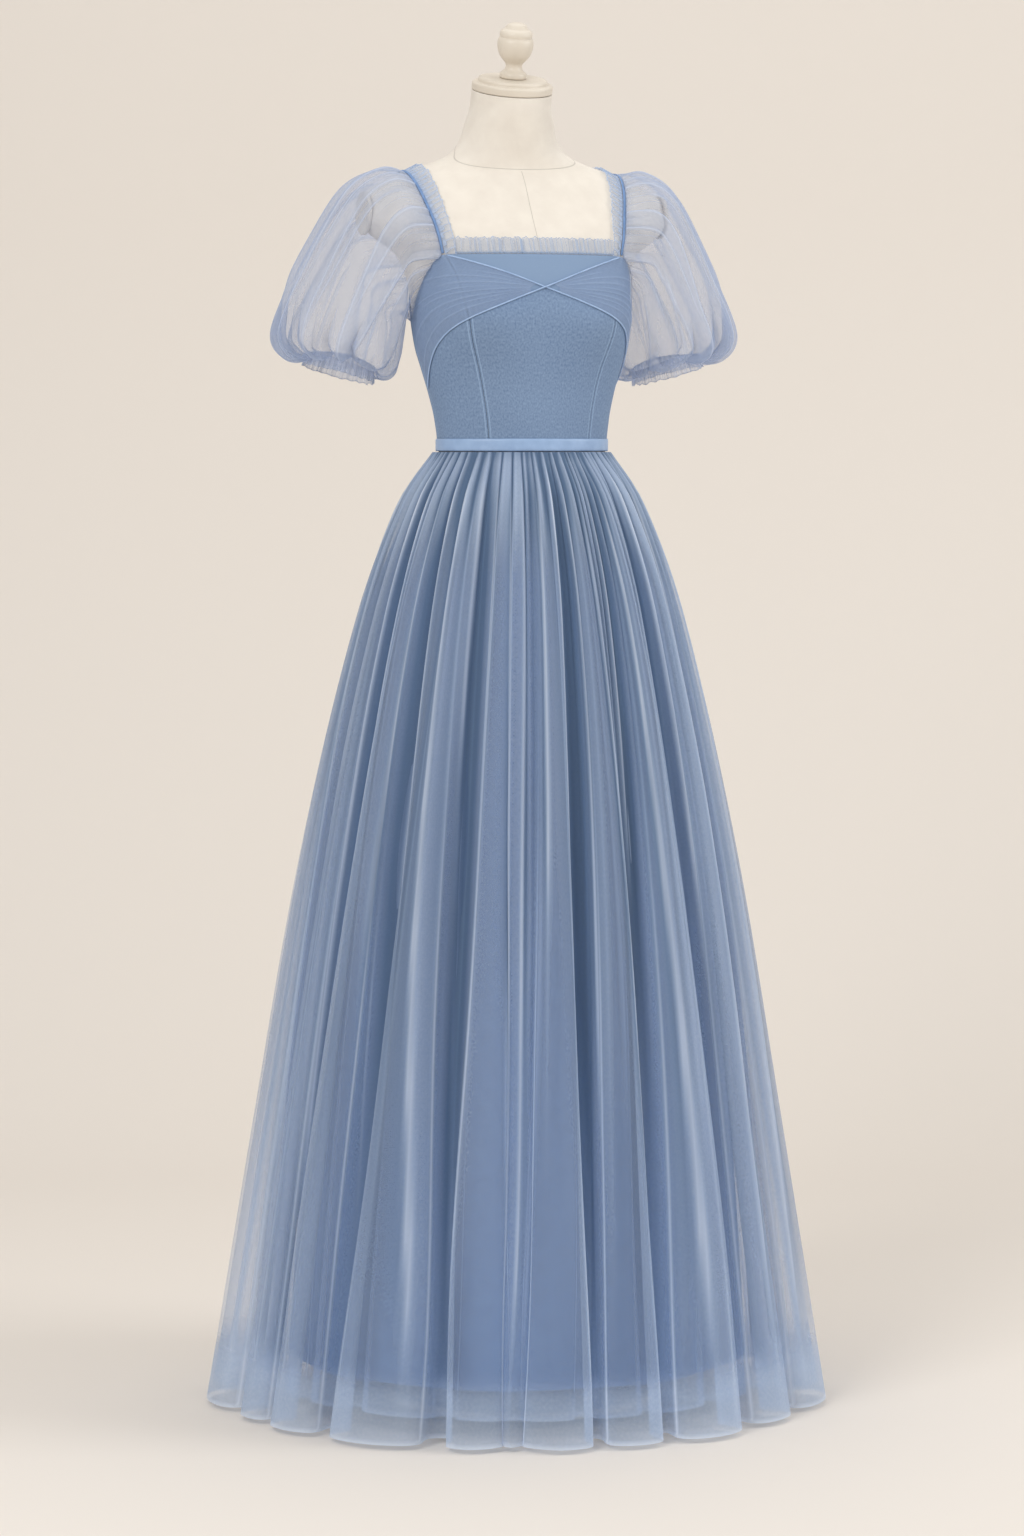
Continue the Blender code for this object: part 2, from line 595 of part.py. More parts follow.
def binding_grid(lift):
    """Narrow strip from the front corner through the crossing to the other side seam."""
    first = LOWER_EDGE[-1].angle - DRAPE_SIDE_TRIM
    last = BINDING_END_TRIM - FRONT_PRINCESS.top
    angle = np.linspace(first, last, BINDING_STEPS + 1)
    below = table_curve(LOWER_EDGE, "height", np.abs(angle))
    above = upper_edge_height(np.abs(angle)) - BINDING_DROP
    height = np.where(angle > 0, below, above)
    gap = CLOTH_GAP + BODICE_WALL + DRAPE_CLEARANCE
    middle = off_form(angle, height, gap)
    near = np.clip(np.abs(middle[:, 0]) / CROSSING_HALF_LENGTH, 0.0, 1.0)
    raised = lift * (1 - near**2) ** 2
    middle = off_form(angle, height, gap + raised)
    outward = off_form(angle, height, gap + raised + THIN_WALL) - middle
    outward /= np.linalg.norm(outward, axis=-1, keepdims=True)
    along = np.gradient(middle, axis=0)
    sideways = np.cross(outward, along)
    sideways *= BINDING_HALF_WIDTH / np.linalg.norm(sideways, axis=-1, keepdims=True)
    return np.stack([middle + sideways, middle - sideways], axis=1)


def build_drapes(materials):
    add_pair("drape", drape_grid(), THIN_WALL, materials["drape_tulle"])
    over = binding_grid(THIN_WALL + 4 * SEAM_GAP)
    add_cloth("drape_binding_left", binding_grid(0.0), THIN_WALL, materials["piping"])
    add_cloth("drape_binding_right", over, THIN_WALL, materials["piping"], other_side=True)


def inside_form(x, y, z):
    half_width, middle, half_depth = form_section(z)
    return (x / half_width) ** 2 + ((y - middle) / half_depth) ** 2 < 1.0


def over_shoulder(x, angle):
    """Point of the form in the plane of one x, seen from the shoulder's middle at an angle from up."""
    x, angle = np.broadcast_arrays(np.asarray(x, float), np.radians(angle))
    near, far = np.zeros(x.shape), np.full(x.shape, SHOULDER_SEARCH)
    for _ in range(SEARCH_STEPS):
        middle = (near + far) / 2
        y = SHOULDER_Y + middle * np.sin(angle)
        z = SHOULDER_HEIGHT + middle * np.cos(angle)
        within = inside_form(x, y, z)
        near, far = np.where(within, middle, near), np.where(within, far, middle)
    return np.stack([x, y, z], axis=-1)


def strap_line(line, angle):
    """x of a strap's edge, on a smooth arch from the front corner over the shoulder to the back."""
    ahead = np.clip(angle / STRAP_FRONT_ANGLE, 0.0, 1.0)
    behind = np.clip(angle / STRAP_BACK_ANGLE, 0.0, 1.0)
    in_front = (line.front - line.top) * ahead**STRAP_ARCH
    return line.top + in_front + (line.back - line.top) * behind**STRAP_ARCH


def strap_grid(inner, outer, steps, lift):
    """Strip over the shoulder between two lines, from the front corner to the back one."""
    angle = np.linspace(STRAP_FRONT_ANGLE, STRAP_BACK_ANGLE, steps + 1)[:, None]
    x = np.concatenate([strap_line(inner, angle), strap_line(outer, angle)], axis=1)
    grid = over_shoulder(x, np.broadcast_to(angle, x.shape))
    return grid + grid_normals(grid, closed=False) * np.asarray(lift)[..., None]


def build_straps(materials):
    piping = strap_grid(PIPING_INNER, PIPING_OUTER, STRAP_STEPS, STRAP_LIFT)
    add_pair("strap", piping, PIPING_WALL, materials["piping"])

    steps = STRAP_WAVES * 3
    wave = STRAP_WAVE_HEIGHT * np.sin(2 * np.pi * np.arange(steps + 1) / 3.0)
    free_edge = STRAP_LIFT + STRAP_RUFFLE_LIFT + wave
    lift = np.stack([free_edge, np.full(steps + 1, STRAP_LIFT)], axis=1)
    ruffle = strap_grid(RUFFLE_INNER, RUFFLE_OUTER, steps, lift)
    add_pair("strap_ruffle", ruffle, THIN_WALL, materials["sleeve_tulle"])

    columns = NECKLINE_WAVES * 3 + 1
    x = np.linspace(-NECKLINE_RUFFLE_END, NECKLINE_RUFFLE_END, columns)[None, :]
    share = np.array([0.0, 1.0])[:, None]
    height = NECKLINE_HEIGHT + 2 * SEAM_GAP + share * NECKLINE_RUFFLE_WIDTH
    half_width, _, _ = form_section(height)
    angle = np.degrees(np.arcsin(x / half_width))
    wave = NECKLINE_WAVE_HEIGHT * np.sin(2 * np.pi * np.arange(columns)[None, :] / 3.0)
    free = NECKLINE_GATHERED_SHARE + (1 - NECKLINE_GATHERED_SHARE) * share
    gap = CLOTH_GAP + NECKLINE_WAVE_HEIGHT * (1 + share) + wave * free
    ruffle = off_form(angle, height, gap)
    add_cloth("neckline_ruffle", ruffle, THIN_WALL, materials["sleeve_tulle"])


def along_line(points, count):
    """Points spread evenly by length along a line."""
    lengths = np.concatenate([[0.0], np.cumsum(np.linalg.norm(np.diff(points, axis=0), axis=1))])
    at = np.linspace(0.0, lengths[-1], count)
    return np.stack([np.interp(at, lengths, points[:, i]) for i in range(3)], axis=-1)


def armhole_line():
    """The sleeve's seam: along the strap, then just above the bodice's edge, and back up."""
    front_edge = bodice_panel(FRONT_PRINCESS, SIDE_SEAM, SIDE_COLUMNS, SEAM_TRIM, SEAM_TRIM)[-1, 1:]
    back_edge = bodice_panel(SIDE_SEAM, BACK_PRINCESS, SIDE_COLUMNS, SEAM_TRIM, SEAM_TRIM)[-1, -2::-1]
    front_angle = np.linspace(0.0, STRAP_FRONT_ANGLE + ARMHOLE_STRAP_TRIM, STRAP_STEPS)
    back_angle = np.linspace(0.0, STRAP_BACK_ANGLE - ARMHOLE_STRAP_TRIM, STRAP_STEPS)
    halves = []
    for angle, edge in (
        (front_angle, front_edge),
        (back_angle, back_edge),
    ):
        over = over_shoulder(strap_line(PIPING_OUTER, angle) + ARMHOLE_STRAP_GAP, angle)
        outward = over - np.array([ARMHOLE_MIDDLE_X, SHOULDER_Y, SHOULDER_HEIGHT])
        over += ARMHOLE_LIFT * outward / np.linalg.norm(outward, axis=-1, keepdims=True)
        below = edge * np.array([ARMHOLE_SPREAD, ARMHOLE_SPREAD, 1.0])
        below[:, 2] += UNDERARM_LIFT
        halves.append(np.concatenate([over, below]))
    half = SLEEVE_COLUMNS // 2 + 1
    front, back = (along_line(points, half) for points in halves)
    return np.concatenate([back, front[-2:0:-1]])


def ring_middle(ring):
    return np.array([ring.outer_x + ring.inner_x, 2 * ring.centre_y, ring.outer_z + ring.inner_z]) / 2


def ring_reach(ring):
    return np.array([ring.outer_x - ring.inner_x, 0.0, ring.outer_z - ring.inner_z]) / 2


def sleeve_grid():
    """Rings from the cuff up to the armhole, with gathers raised along the normal."""
    turn = -np.arange(SLEEVE_COLUMNS) * 2 * np.pi / SLEEVE_COLUMNS
    rings, folds = [armhole_line()], [HEAD_FOLD]
    for ring in SLEEVE_RINGS:
        depth = np.array([0.0, -ring.half_depth, 0.0])
        round_ring = np.outer(np.cos(turn), ring_reach(ring)) + np.outer(np.sin(turn), depth)
        rings.append(ring_middle(ring) + round_ring)
        folds.append(ring.fold)
    grid = np.stack(rings[::-1])
    wave = np.sin(2 * np.pi * np.arange(SLEEVE_COLUMNS) / 3.0)[None, :]
    fold = np.array(folds[::-1])[:, None] * wave
    inward = np.clip(-np.cos(turn) - SMOOTH_FROM, 0.0, 1.0) / (1.0 - SMOOTH_FROM)
    return grid, fold * (1 - SMOOTHED_SHARE * inward)[None, :]


def build_sleeves(materials):
    grid, fold = sleeve_grid()
    shaped = grid + grid_normals(grid, closed=True) * fold[..., None]
    add_pair("sleeve", shaped, THIN_WALL, materials["sleeve_tulle"], closed=True)

    cuff = SLEEVE_RINGS[-1]
    middle = ring_middle(cuff)
    reach = ring_reach(cuff)
    half_width = np.linalg.norm(reach)
    outer_way = reach / half_width
    down = np.array([outer_way[2], 0.0, -outer_way[0]])
    count = CUFF_WAVES * 3
    turn = -np.arange(count) * 2 * np.pi / count
    wave = CUFF_WAVE_HEIGHT * np.sin(2 * np.pi * np.arange(count) / 3.0)
    rows = []
    for share in (1.0, 0.0):
        free = CUFF_GATHERED_SHARE + (1 - CUFF_GATHERED_SHARE) * share
        spread = share * CUFF_FRILL_FLARE + free * wave - CUFF_FRILL_INSET
        at = middle + down * (SEAM_GAP + share * CUFF_FRILL_WIDTH)
        ring = at + np.outer(np.cos(turn) * (half_width + spread), outer_way)
        ring[:, 1] += np.sin(turn) * (cuff.half_depth + spread)
        rows.append(ring)
    frill = np.stack(rows)
    add_pair("cuff_frill", frill, THIN_WALL, materials["sleeve_tulle"], closed=True)


def flute_columns(flutes, first, steps):
    """Angle, phase and depth of each column of a run of flutes, and the angle of even gathers."""
    angles, phases, depths = [], [], []
    start = first
    for flute in flutes:
        phase = np.arange(steps) * 2 * np.pi / steps
        bent = phase - np.pi + WALL_STEEPNESS * np.sin(2 * (phase - np.pi))
        angles.append(start + flute.width * (bent / (2 * np.pi) + 0.5))
        phases.append(phase)
        depths.append(np.full(steps, flute.depth))
        start += flute.width
    angles.append([start])
    phases.append([0.0])
    depths.append([flutes[-1].depth])
    return np.concatenate(angles), np.concatenate(phases), np.concatenate(depths)


def folded_grid(table, angle, even, wave, gather):
    """Oval sections of a skirt layer, moved in and out by its waves and gathers."""
    height = np.array([row.height for row in table])[:, None]
    half_width = np.array([row.half_width for row in table])[:, None]
    front = np.array([row.front for row in table])[:, None]
    back = np.array([row.back for row in table])[:, None]
    flute = np.array([row.flute for row in table])[:, None]
    small = np.array([row.gather for row in table])[:, None]
    share = EVEN_SHARE_AT_WAIST * (height - height[0]) / (height[-1] - height[0])
    around = angle[None, :] * (1 - share) + even[None, :] * share
    per_metre = 180.0 / (np.pi * half_width)
    around[:, :1] += SEAM_TRIM * per_metre
    around[:, -1:] -= SEAM_TRIM * per_metre
    turn = np.radians(around)
    middle, half_depth = (front + back) / 2, (back - front) / 2
    x, y = half_width * np.sin(turn), middle - half_depth * np.cos(turn)
    out = np.stack([np.sin(turn) / half_width, -np.cos(turn) / half_depth], axis=-1)
    out /= np.linalg.norm(out, axis=-1, keepdims=True)
    move = flute * wave[None, :] + small * gather[None, :]
    x, y = x + out[..., 0] * move, y + out[..., 1] * move
    return np.stack([x, y, np.broadcast_to(height, x.shape)], axis=-1)


def build_skirt(materials):
    even_width = 360.0 / (len(FRONT_FLUTES) + len(BACK_FLUTES))
    back_start = FIRST_FLUTE_ANGLE + sum(flute.width for flute in FRONT_FLUTES)
    halves = (
        ("front", FRONT_FLUTES, FIRST_FLUTE_ANGLE, FIRST_FLUTE_ANGLE),
        ("back", BACK_FLUTES, back_start, FIRST_FLUTE_ANGLE + even_width * len(FRONT_FLUTES)),
    )
    for half, flutes, first, first_even in halves:
        for layer, table, steps, cloth in (
            ("skirt_outer", OUTER_SKIRT, OUTER_STEPS, "skirt_tulle"),
            ("skirt_middle", MIDDLE_SKIRT, MIDDLE_STEPS, "skirt_tulle"),
        ):
            angle, phase, depth = flute_columns(flutes, first, steps)
            count = np.arange(len(angle))
            even = first_even + even_width * count / steps
            gather = np.sin(2 * np.pi * GATHERS_PER_FLUTE * count / steps)
            grid = folded_grid(table, angle, even, -np.cos(phase) * depth, gather)
            add_cloth(f"{layer}_{half}", grid, THIN_WALL, materials[cloth])

        last = first + sum(flute.width for flute in flutes)
        last_even = first_even + even_width * len(flutes)
        angle = np.linspace(first, last, LINING_COLUMNS + 1)
        even = np.linspace(first_even, last_even, LINING_COLUMNS + 1)
        wave = -np.cos(2 * np.pi * LINING_WAVES * np.linspace(0, 1, LINING_COLUMNS + 1))
        grid = folded_grid(LINING_SKIRT, angle, even, wave, wave)
        add_cloth(f"skirt_lining_{half}", grid, THIN_WALL, materials["skirt_lining"])


def add_block(name, low, high, material):
    corners = [(x, y, z) for z in (low[2], high[2]) for y in (low[1], high[1]) for x in (low[0], high[0])]
    faces = [(0, 2, 3, 1), (4, 5, 7, 6), (0, 1, 5, 4), (2, 6, 7, 3), (0, 4, 6, 2), (1, 3, 7, 5)]
    return add_object(name, corners, faces, material, smooth_angle=30.0)


def use_boolean(target, other, operation):
    """Joins or cuts with a helper that isn't part of the dress."""
    other.hide_render = True
    other.display_type = "WIRE"
    change = target.modifiers.new(operation.lower(), "BOOLEAN")
    change.operation = operation
    change.object = other
    change.solver = "EXACT"


def build_zip(materials):
    height = np.linspace(ZIP_BOTTOM, ZIP_TOP, COIL_ROWS)[:, None]
    half_width, _, _ = form_section(height)
    spread = np.degrees(COIL_HALF_WIDTH / half_width)
    angle = 180.0 + spread * np.array([-1.0, 1.0])[None, :]
    coil = off_form(angle, height, CLOTH_GAP)
    add_cloth("zip_coil", coil, BODICE_WALL, materials["zip_metal"])

    gaps = np.array([0.0, CLOTH_GAP + BODICE_WALL])
    low, high = off_form(np.array([180.0, 180.0]), SLIDER_HEIGHT, gaps)
    slope = math.atan2(high[2] - low[2], high[1] - low[1])
    holder = bpy.data.objects.new("slider_place", None)
    bpy.context.scene.collection.objects.link(holder)
    holder.location = high
    holder.rotation_euler = (slope, 0.0, 0.0)

    metal = materials["zip_metal"]
    slider = add_block(
        "zip_slider",
        (-SLIDER_HALF_WIDTH, SEAM_GAP, -SLIDER_HALF_LENGTH),
        (SLIDER_HALF_WIDTH, SLIDER_FRONT, SLIDER_HALF_LENGTH),
        metal,
    )
    bail = add_block(
        "bail_block",
        (-BAIL_HALF_WIDTH, SLIDER_FRONT - BAIL_ROOT, -BAIL_HALF_LENGTH),
        (BAIL_HALF_WIDTH, BAIL_TOP, BAIL_HALF_LENGTH),
        metal,
    )
    tunnel = add_block(
        "bail_tunnel",
        (-SLIDER_HALF_WIDTH, SLIDER_FRONT, BAIL_BAR - BAIL_HALF_LENGTH),
        (SLIDER_HALF_WIDTH, BAIL_TOP - BAIL_BAR, BAIL_HALF_LENGTH - BAIL_BAR),
        metal,
    )
    use_boolean(slider, bail, "UNION")
    use_boolean(slider, tunnel, "DIFFERENCE")

    turn = np.radians(np.linspace(0.0, 180.0, PULL_END_POINTS))
    top = np.stack([np.cos(turn) * PULL_HALF_WIDTH, np.sin(turn) * PULL_HALF_THICKNESS], axis=-1)
    low_end = PULL_HALF_WIDTH - PULL_LENGTH
    bottom = np.stack([-np.cos(turn) * PULL_HALF_WIDTH, low_end - np.sin(turn) * PULL_HALF_WIDTH], axis=-1)
    outline = np.concatenate([top, bottom])
    sides = [
        np.stack([outline[:, 0], np.full(len(outline), y), outline[:, 1]], axis=-1)
        for y in (PULL_HALF_THICKNESS, -PULL_HALF_THICKNESS)
    ]
    pull = add_capped("zip_pull", np.stack(sides), metal)
    window = add_block(
        "pull_window",
        (-WINDOW_HALF_WIDTH, -2 * PULL_HALF_THICKNESS, -WINDOW_LENGTH - PULL_HALF_THICKNESS),
        (WINDOW_HALF_WIDTH, 2 * PULL_HALF_THICKNESS, -PULL_HALF_THICKNESS),
        metal,
    )
    use_boolean(pull, window, "DIFFERENCE")
    hinge = bpy.data.objects.new("pull_hinge", None)
    bpy.context.scene.collection.objects.link(hinge)
    hinge.parent = holder
    hinge.location = (0.0, PULL_AXIS_Y, PULL_AXIS_Z)
    for piece in (slider, bail, tunnel):
        piece.parent = holder
    for piece in (pull, window):
        piece.parent = hinge


def main():
    clear_scene()
    materials = make_materials()
    build_form(materials)
    build_bodice(materials)
    build_drapes(materials)
    build_straps(materials)
    build_sleeves(materials)
    build_skirt(materials)
    build_zip(materials)


main()
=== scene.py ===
"""Looks of a bridesmaid gown on a limbless dress form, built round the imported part.

Metres, +Z up. The gown's front faces -Y and the wearer's left is +X. Angles round the body start
at the front and grow towards the wearer's left. Every cloth piece is a surface on a grid whose
rows run up and whose columns run towards the wearer's left, so that its faces point outwards.
"""

import logging
import math
from dataclasses import dataclass, field, replace
from enum import Enum

import bpy
import numpy as np
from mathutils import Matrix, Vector


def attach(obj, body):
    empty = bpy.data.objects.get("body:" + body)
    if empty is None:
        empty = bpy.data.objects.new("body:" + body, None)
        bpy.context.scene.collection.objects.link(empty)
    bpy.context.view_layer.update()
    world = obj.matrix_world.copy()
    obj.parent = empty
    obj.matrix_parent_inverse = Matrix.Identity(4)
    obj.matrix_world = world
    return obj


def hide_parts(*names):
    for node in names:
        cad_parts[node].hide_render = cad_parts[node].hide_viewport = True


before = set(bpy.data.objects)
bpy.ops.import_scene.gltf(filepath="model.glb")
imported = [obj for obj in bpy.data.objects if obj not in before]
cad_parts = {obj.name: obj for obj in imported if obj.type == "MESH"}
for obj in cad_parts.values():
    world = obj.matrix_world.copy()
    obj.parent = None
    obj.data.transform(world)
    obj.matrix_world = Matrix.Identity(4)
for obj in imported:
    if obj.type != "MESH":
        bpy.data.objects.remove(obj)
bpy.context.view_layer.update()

Array = np.ndarray
Colour = tuple[float, float, float]
Profile = tuple[tuple[float, float], ...]
Socket = bpy.types.NodeSocket
Material = bpy.types.Material
BODY = "gown_on_form"
SIDES = ("left", "right")
EASE = 1.05
TURN = 2 * np.pi
LOG = logging.getLogger("gown")


def dye(red: int, green: int, blue: int) -> Colour:
    """Linear colour of a shade given as it looks on a screen.

    Args:
        red: Red share of the shade, from 0 to 255.
        green: Green share.
        blue: Blue share.

    Returns:
        The three linear values.
    """
    shares = np.array([red, green, blue]) / 255.0
    linear = np.where(shares <= 0.04045, shares / 12.92, ((shares + 0.055) / 1.055) ** 2.4)
    return tuple(float(value) for value in linear)


def smooth_curve(places: Array, values: Array, at: Array) -> Array:
    """Values on a smooth curve that never overshoots its points.

    Each stretch is a cubic whose end slopes are the harmonic mean of the neighbouring slopes.

    Args:
        places: Rising places of the known points.
        values: Values at those places.
        at: Places to read the curve at.

    Returns:
        The curve's values, shaped like at.
    """
    places, values, at = (np.asarray(item, float) for item in (places, values, at))
    steps = np.diff(places)
    slopes = np.diff(values) / steps
    same_way = slopes[:-1] * slopes[1:] > 0
    total = np.where(same_way, slopes[:-1] + slopes[1:], 1.0)
    inner = np.where(same_way, 2 * slopes[:-1] * slopes[1:] / total, 0.0)
    tangents = np.concatenate([slopes[:1], inner, slopes[-1:]])
    low = np.clip(np.searchsorted(places, at) - 1, 0, len(places) - 2)
    t = np.clip((at - places[low]) / steps[low], 0.0, 1.0)
    start = (1 + 2 * t) * (1 - t) ** 2 * values[low]
    end = t**2 * (3 - 2 * t) * values[low + 1]
    pull_in = t * (1 - t) ** 2 * steps[low] * tangents[low]
    pull_out = t**2 * (t - 1) * steps[low] * tangents[low + 1]
    return start + end + pull_in + pull_out


def smooth_rows(rows: Array, count: int) -> Array:
    """Rows of a grid made finer on a curve through each column's points.

    The curve is a cubic whose slope at each point is half the step between its two neighbours,
    read at places that are even by the mean length between rows.

    Args:
        rows: Grid of points, rows first.
        count: Number of rows to make.

    Returns:
        The finer grid.
    """
    gaps = np.linalg.norm(np.diff(rows, axis=0), axis=-1).reshape(len(rows) - 1, -1).mean(axis=1)
    length = np.concatenate([[0.0], np.cumsum(gaps)])
    at = np.interp(np.linspace(0.0, length[-1], count), length, np.arange(len(rows)))
    low = np.minimum(at.astype(int), len(rows) - 2)
    t = (at - low).reshape((-1,) + (1,) * (rows.ndim - 1))
    before, start = rows[np.maximum(low - 1, 0)], rows[low]
    end, after = rows[low + 1], rows[np.minimum(low + 2, len(rows) - 1)]
    bend = 2 * before - 5 * start + 4 * end - after
    twist = 3 * (start - end) + after - before
    return start + 0.5 * t * (end - before + t * (bend + t * twist))


def soft_step(value: Array, low: float, high: float) -> Array:
    """Rise from 0 at low to 1 at high, level at both ends (3t squared less 2t cubed)."""
    t = np.clip((value - low) / (high - low), 0.0, 1.0)
    return t * t * (3 - 2 * t)


def slow_noise(places: Array, seed: int, terms: int = 5) -> Array:
    """Uneven wave between about -1 and 1: a sum of sines of unrelated lengths and phases.

    Args:
        places: Where to read it. One unit is about one bump.
        seed: Picks the lengths and phases.
        terms: Number of sines.

    Returns:
        The wave's values.
    """
    draw = np.random.default_rng(seed)
    lengths = draw.uniform(0.35, 1.6, terms)
    phases = draw.uniform(0.0, 2 * np.pi, terms)
    waves = [np.sin(TURN * places * rate + shift) for rate, shift in zip(lengths, phases)]
    return sum(waves) / math.sqrt(2 * terms)


def grid_normals(grid: Array, closed: bool) -> Array:
    """Unit normals of a grid: the cross product of its steps along a row and up a column.

    Args:
        grid: Points in rows and columns.
        closed: Whether the columns run all the way round.

    Returns:
        The normal at each point.
    """
    if closed:
        across = np.roll(grid, -1, axis=1) - np.roll(grid, 1, axis=1)
    else:
        across = np.gradient(grid, axis=1)
    normals = np.cross(across, np.gradient(grid, axis=0))
    return normals / np.maximum(np.linalg.norm(normals, axis=-1, keepdims=True), 1e-12)


def lengths_along(points: Array) -> Array:
    """Running length along a line of points."""
    steps = np.linalg.norm(np.diff(points, axis=0), axis=1)
    return np.concatenate([[0.0], np.cumsum(steps)])


def unit(vectors: Array) -> Array:
    """The vectors at a length of 1."""
    return vectors / np.linalg.norm(vectors, axis=-1, keepdims=True)


def mirrored(grid: Array) -> Array:
    """The grid on the other side of the body, its columns turned round to keep its face out."""
    return (grid * np.array([-1.0, 1.0, 1.0]))[:, ::-1]


@dataclass
class Surface:
    """A cloth or hard surface on a grid of points, before it becomes a mesh."""

    name: str
    grid: Array
    closed: bool = False
    capped: bool = False
    marks: dict[str, Array] = field(default_factory=dict)

    def faces(self) -> Array:
        """Four-sided faces, each from a point, its right, upper right and upper neighbours.

        Returns:
            The numbers of each face's corners.
        """
        rows, columns = self.grid.shape[:2]
        last = columns if self.closed else columns - 1
        row, column = np.meshgrid(np.arange(rows - 1), np.arange(last), indexing="ij")
        first = row * columns + column
        right = row * columns + (column + 1) % columns
        return np.stack([first, right, right + columns, first + columns], axis=-1).reshape(-1, 4)

    def cloth_map(self) -> tuple[Array, Array]:
        """Width and length of the cloth in metres at each column and row.

        The width runs along the longest row and the length up the middle column.

        Returns:
            The width at each column and the length at each row.
        """
        ring = np.concatenate([self.grid, self.grid[:, :1]], axis=1) if self.closed else self.grid
        widths = np.linalg.norm(np.diff(ring, axis=1), axis=-1).sum(axis=1)
        across = lengths_along(ring[int(np.argmax(widths))])
        up = lengths_along(self.grid[:, self.grid.shape[1] // 2])
        return across, up

    def on_side(self, side: str) -> "Surface":
        """The piece as it is on the wearer's left, or mirrored where the side is the right.

        Args:
            side: A name that ends in left or right, or nothing for a middle piece.

        Returns:
            The surface itself, or its mirror image.
        """
        if not side.endswith("right"):
            return self
        marks = {name: values[:, ::-1] for name, values in self.marks.items()}
        return replace(self, grid=mirrored(self.grid), marks=marks)

    def area(self) -> float:
        """Area of the surface, as the sum of its faces' halves.

        Returns:
            The area in square metres.
        """
        corners = self.grid.reshape(-1, 3)[self.faces()]
        one = np.cross(corners[:, 1] - corners[:, 0], corners[:, 2] - corners[:, 0])
        two = np.cross(corners[:, 2] - corners[:, 0], corners[:, 3] - corners[:, 0])
        return float((np.linalg.norm(one, axis=1) + np.linalg.norm(two, axis=1)).sum() / 2)

    def build(self, finish: "Finish", slot: "Slot", nodes: list[str]) -> bpy.types.Object:
        """Makes the mesh, moves it with the body and hides the CAD nodes that it replaces.

        Args:
            finish: Finish of the piece.
            slot: The record's material slot; not used.
            nodes: CAD nodes that the piece replaces.

        Returns:
            The new object.
        """
        faces = self.faces()
        listed = faces.tolist()
        rows, columns = self.grid.shape[:2]
        if self.capped:
            listed.append(list(range(columns))[::-1])
            listed.append(list(range((rows - 1) * columns, rows * columns)))
        mesh = bpy.data.meshes.new(self.name)
        mesh.from_pydata(self.grid.reshape(-1, 3).tolist(), [], listed)
        mesh.polygons.foreach_set("use_smooth", np.arange(len(listed)) < len(faces))
        across, up = self.cloth_map()
        last = columns if self.closed else columns - 1
        row, column = np.divmod(np.arange(len(faces)), last)
        wide = np.stack([across[column], across[column + 1], across[column + 1], across[column]], 1)
        high = np.stack([up[row], up[row], up[row + 1], up[row + 1]], 1)
        places = np.zeros((len(mesh.loops), 2), dtype=np.float32)
        places[: 4 * len(faces), 0] = wide.ravel()
        places[: 4 * len(faces), 1] = high.ravel()
        mesh.uv_layers.new(name="cloth").data.foreach_set("uv", places.ravel())
        for name, values in self.marks.items():
            spread = np.broadcast_to(values, (rows, columns)).astype(np.float32)
            mesh.attributes.new(name, "FLOAT", "POINT").data.foreach_set("value", spread.ravel())
        mesh.materials.append(finish.made())
        mesh.update()
        piece = placed(self.name, mesh)
        dress_piece(piece, nodes)
        LOG.info("%s: %d faces, %.3f m2", self.name, len(listed), self.area())
        return piece


def placed(name: str, data: bpy.types.ID) -> bpy.types.Object:
    """A new object of the data, linked to the scene."""
    piece = bpy.data.objects.new(name, data)
    bpy.context.scene.collection.objects.link(piece)
    return piece


def dress_piece(piece: bpy.types.Object, nodes: list[str], body: str = BODY) -> None:
    """Attaches a piece to the body that it moves with and hides the CAD nodes that it replaces.

    Args:
        piece: The finished object.
        nodes: CAD nodes that it replaces.
        body: CAD body that it moves with.
    """
    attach(piece, body)
    if nodes:
        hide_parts(*nodes)


def thicken(piece: bpy.types.Object, wall: float, offset: float = -1.0) -> None:
    """Gives a sheet its wall: inwards with an offset of -1, evenly with 0.

    Args:
        piece: The sheet.
        wall: Its thickness.
        offset: Which side of the surface the wall lies on.
    """
    change = piece.modifiers.new("wall", "SOLIDIFY")
    change.thickness = wall
    change.offset = offset
    change.use_even_offset = False


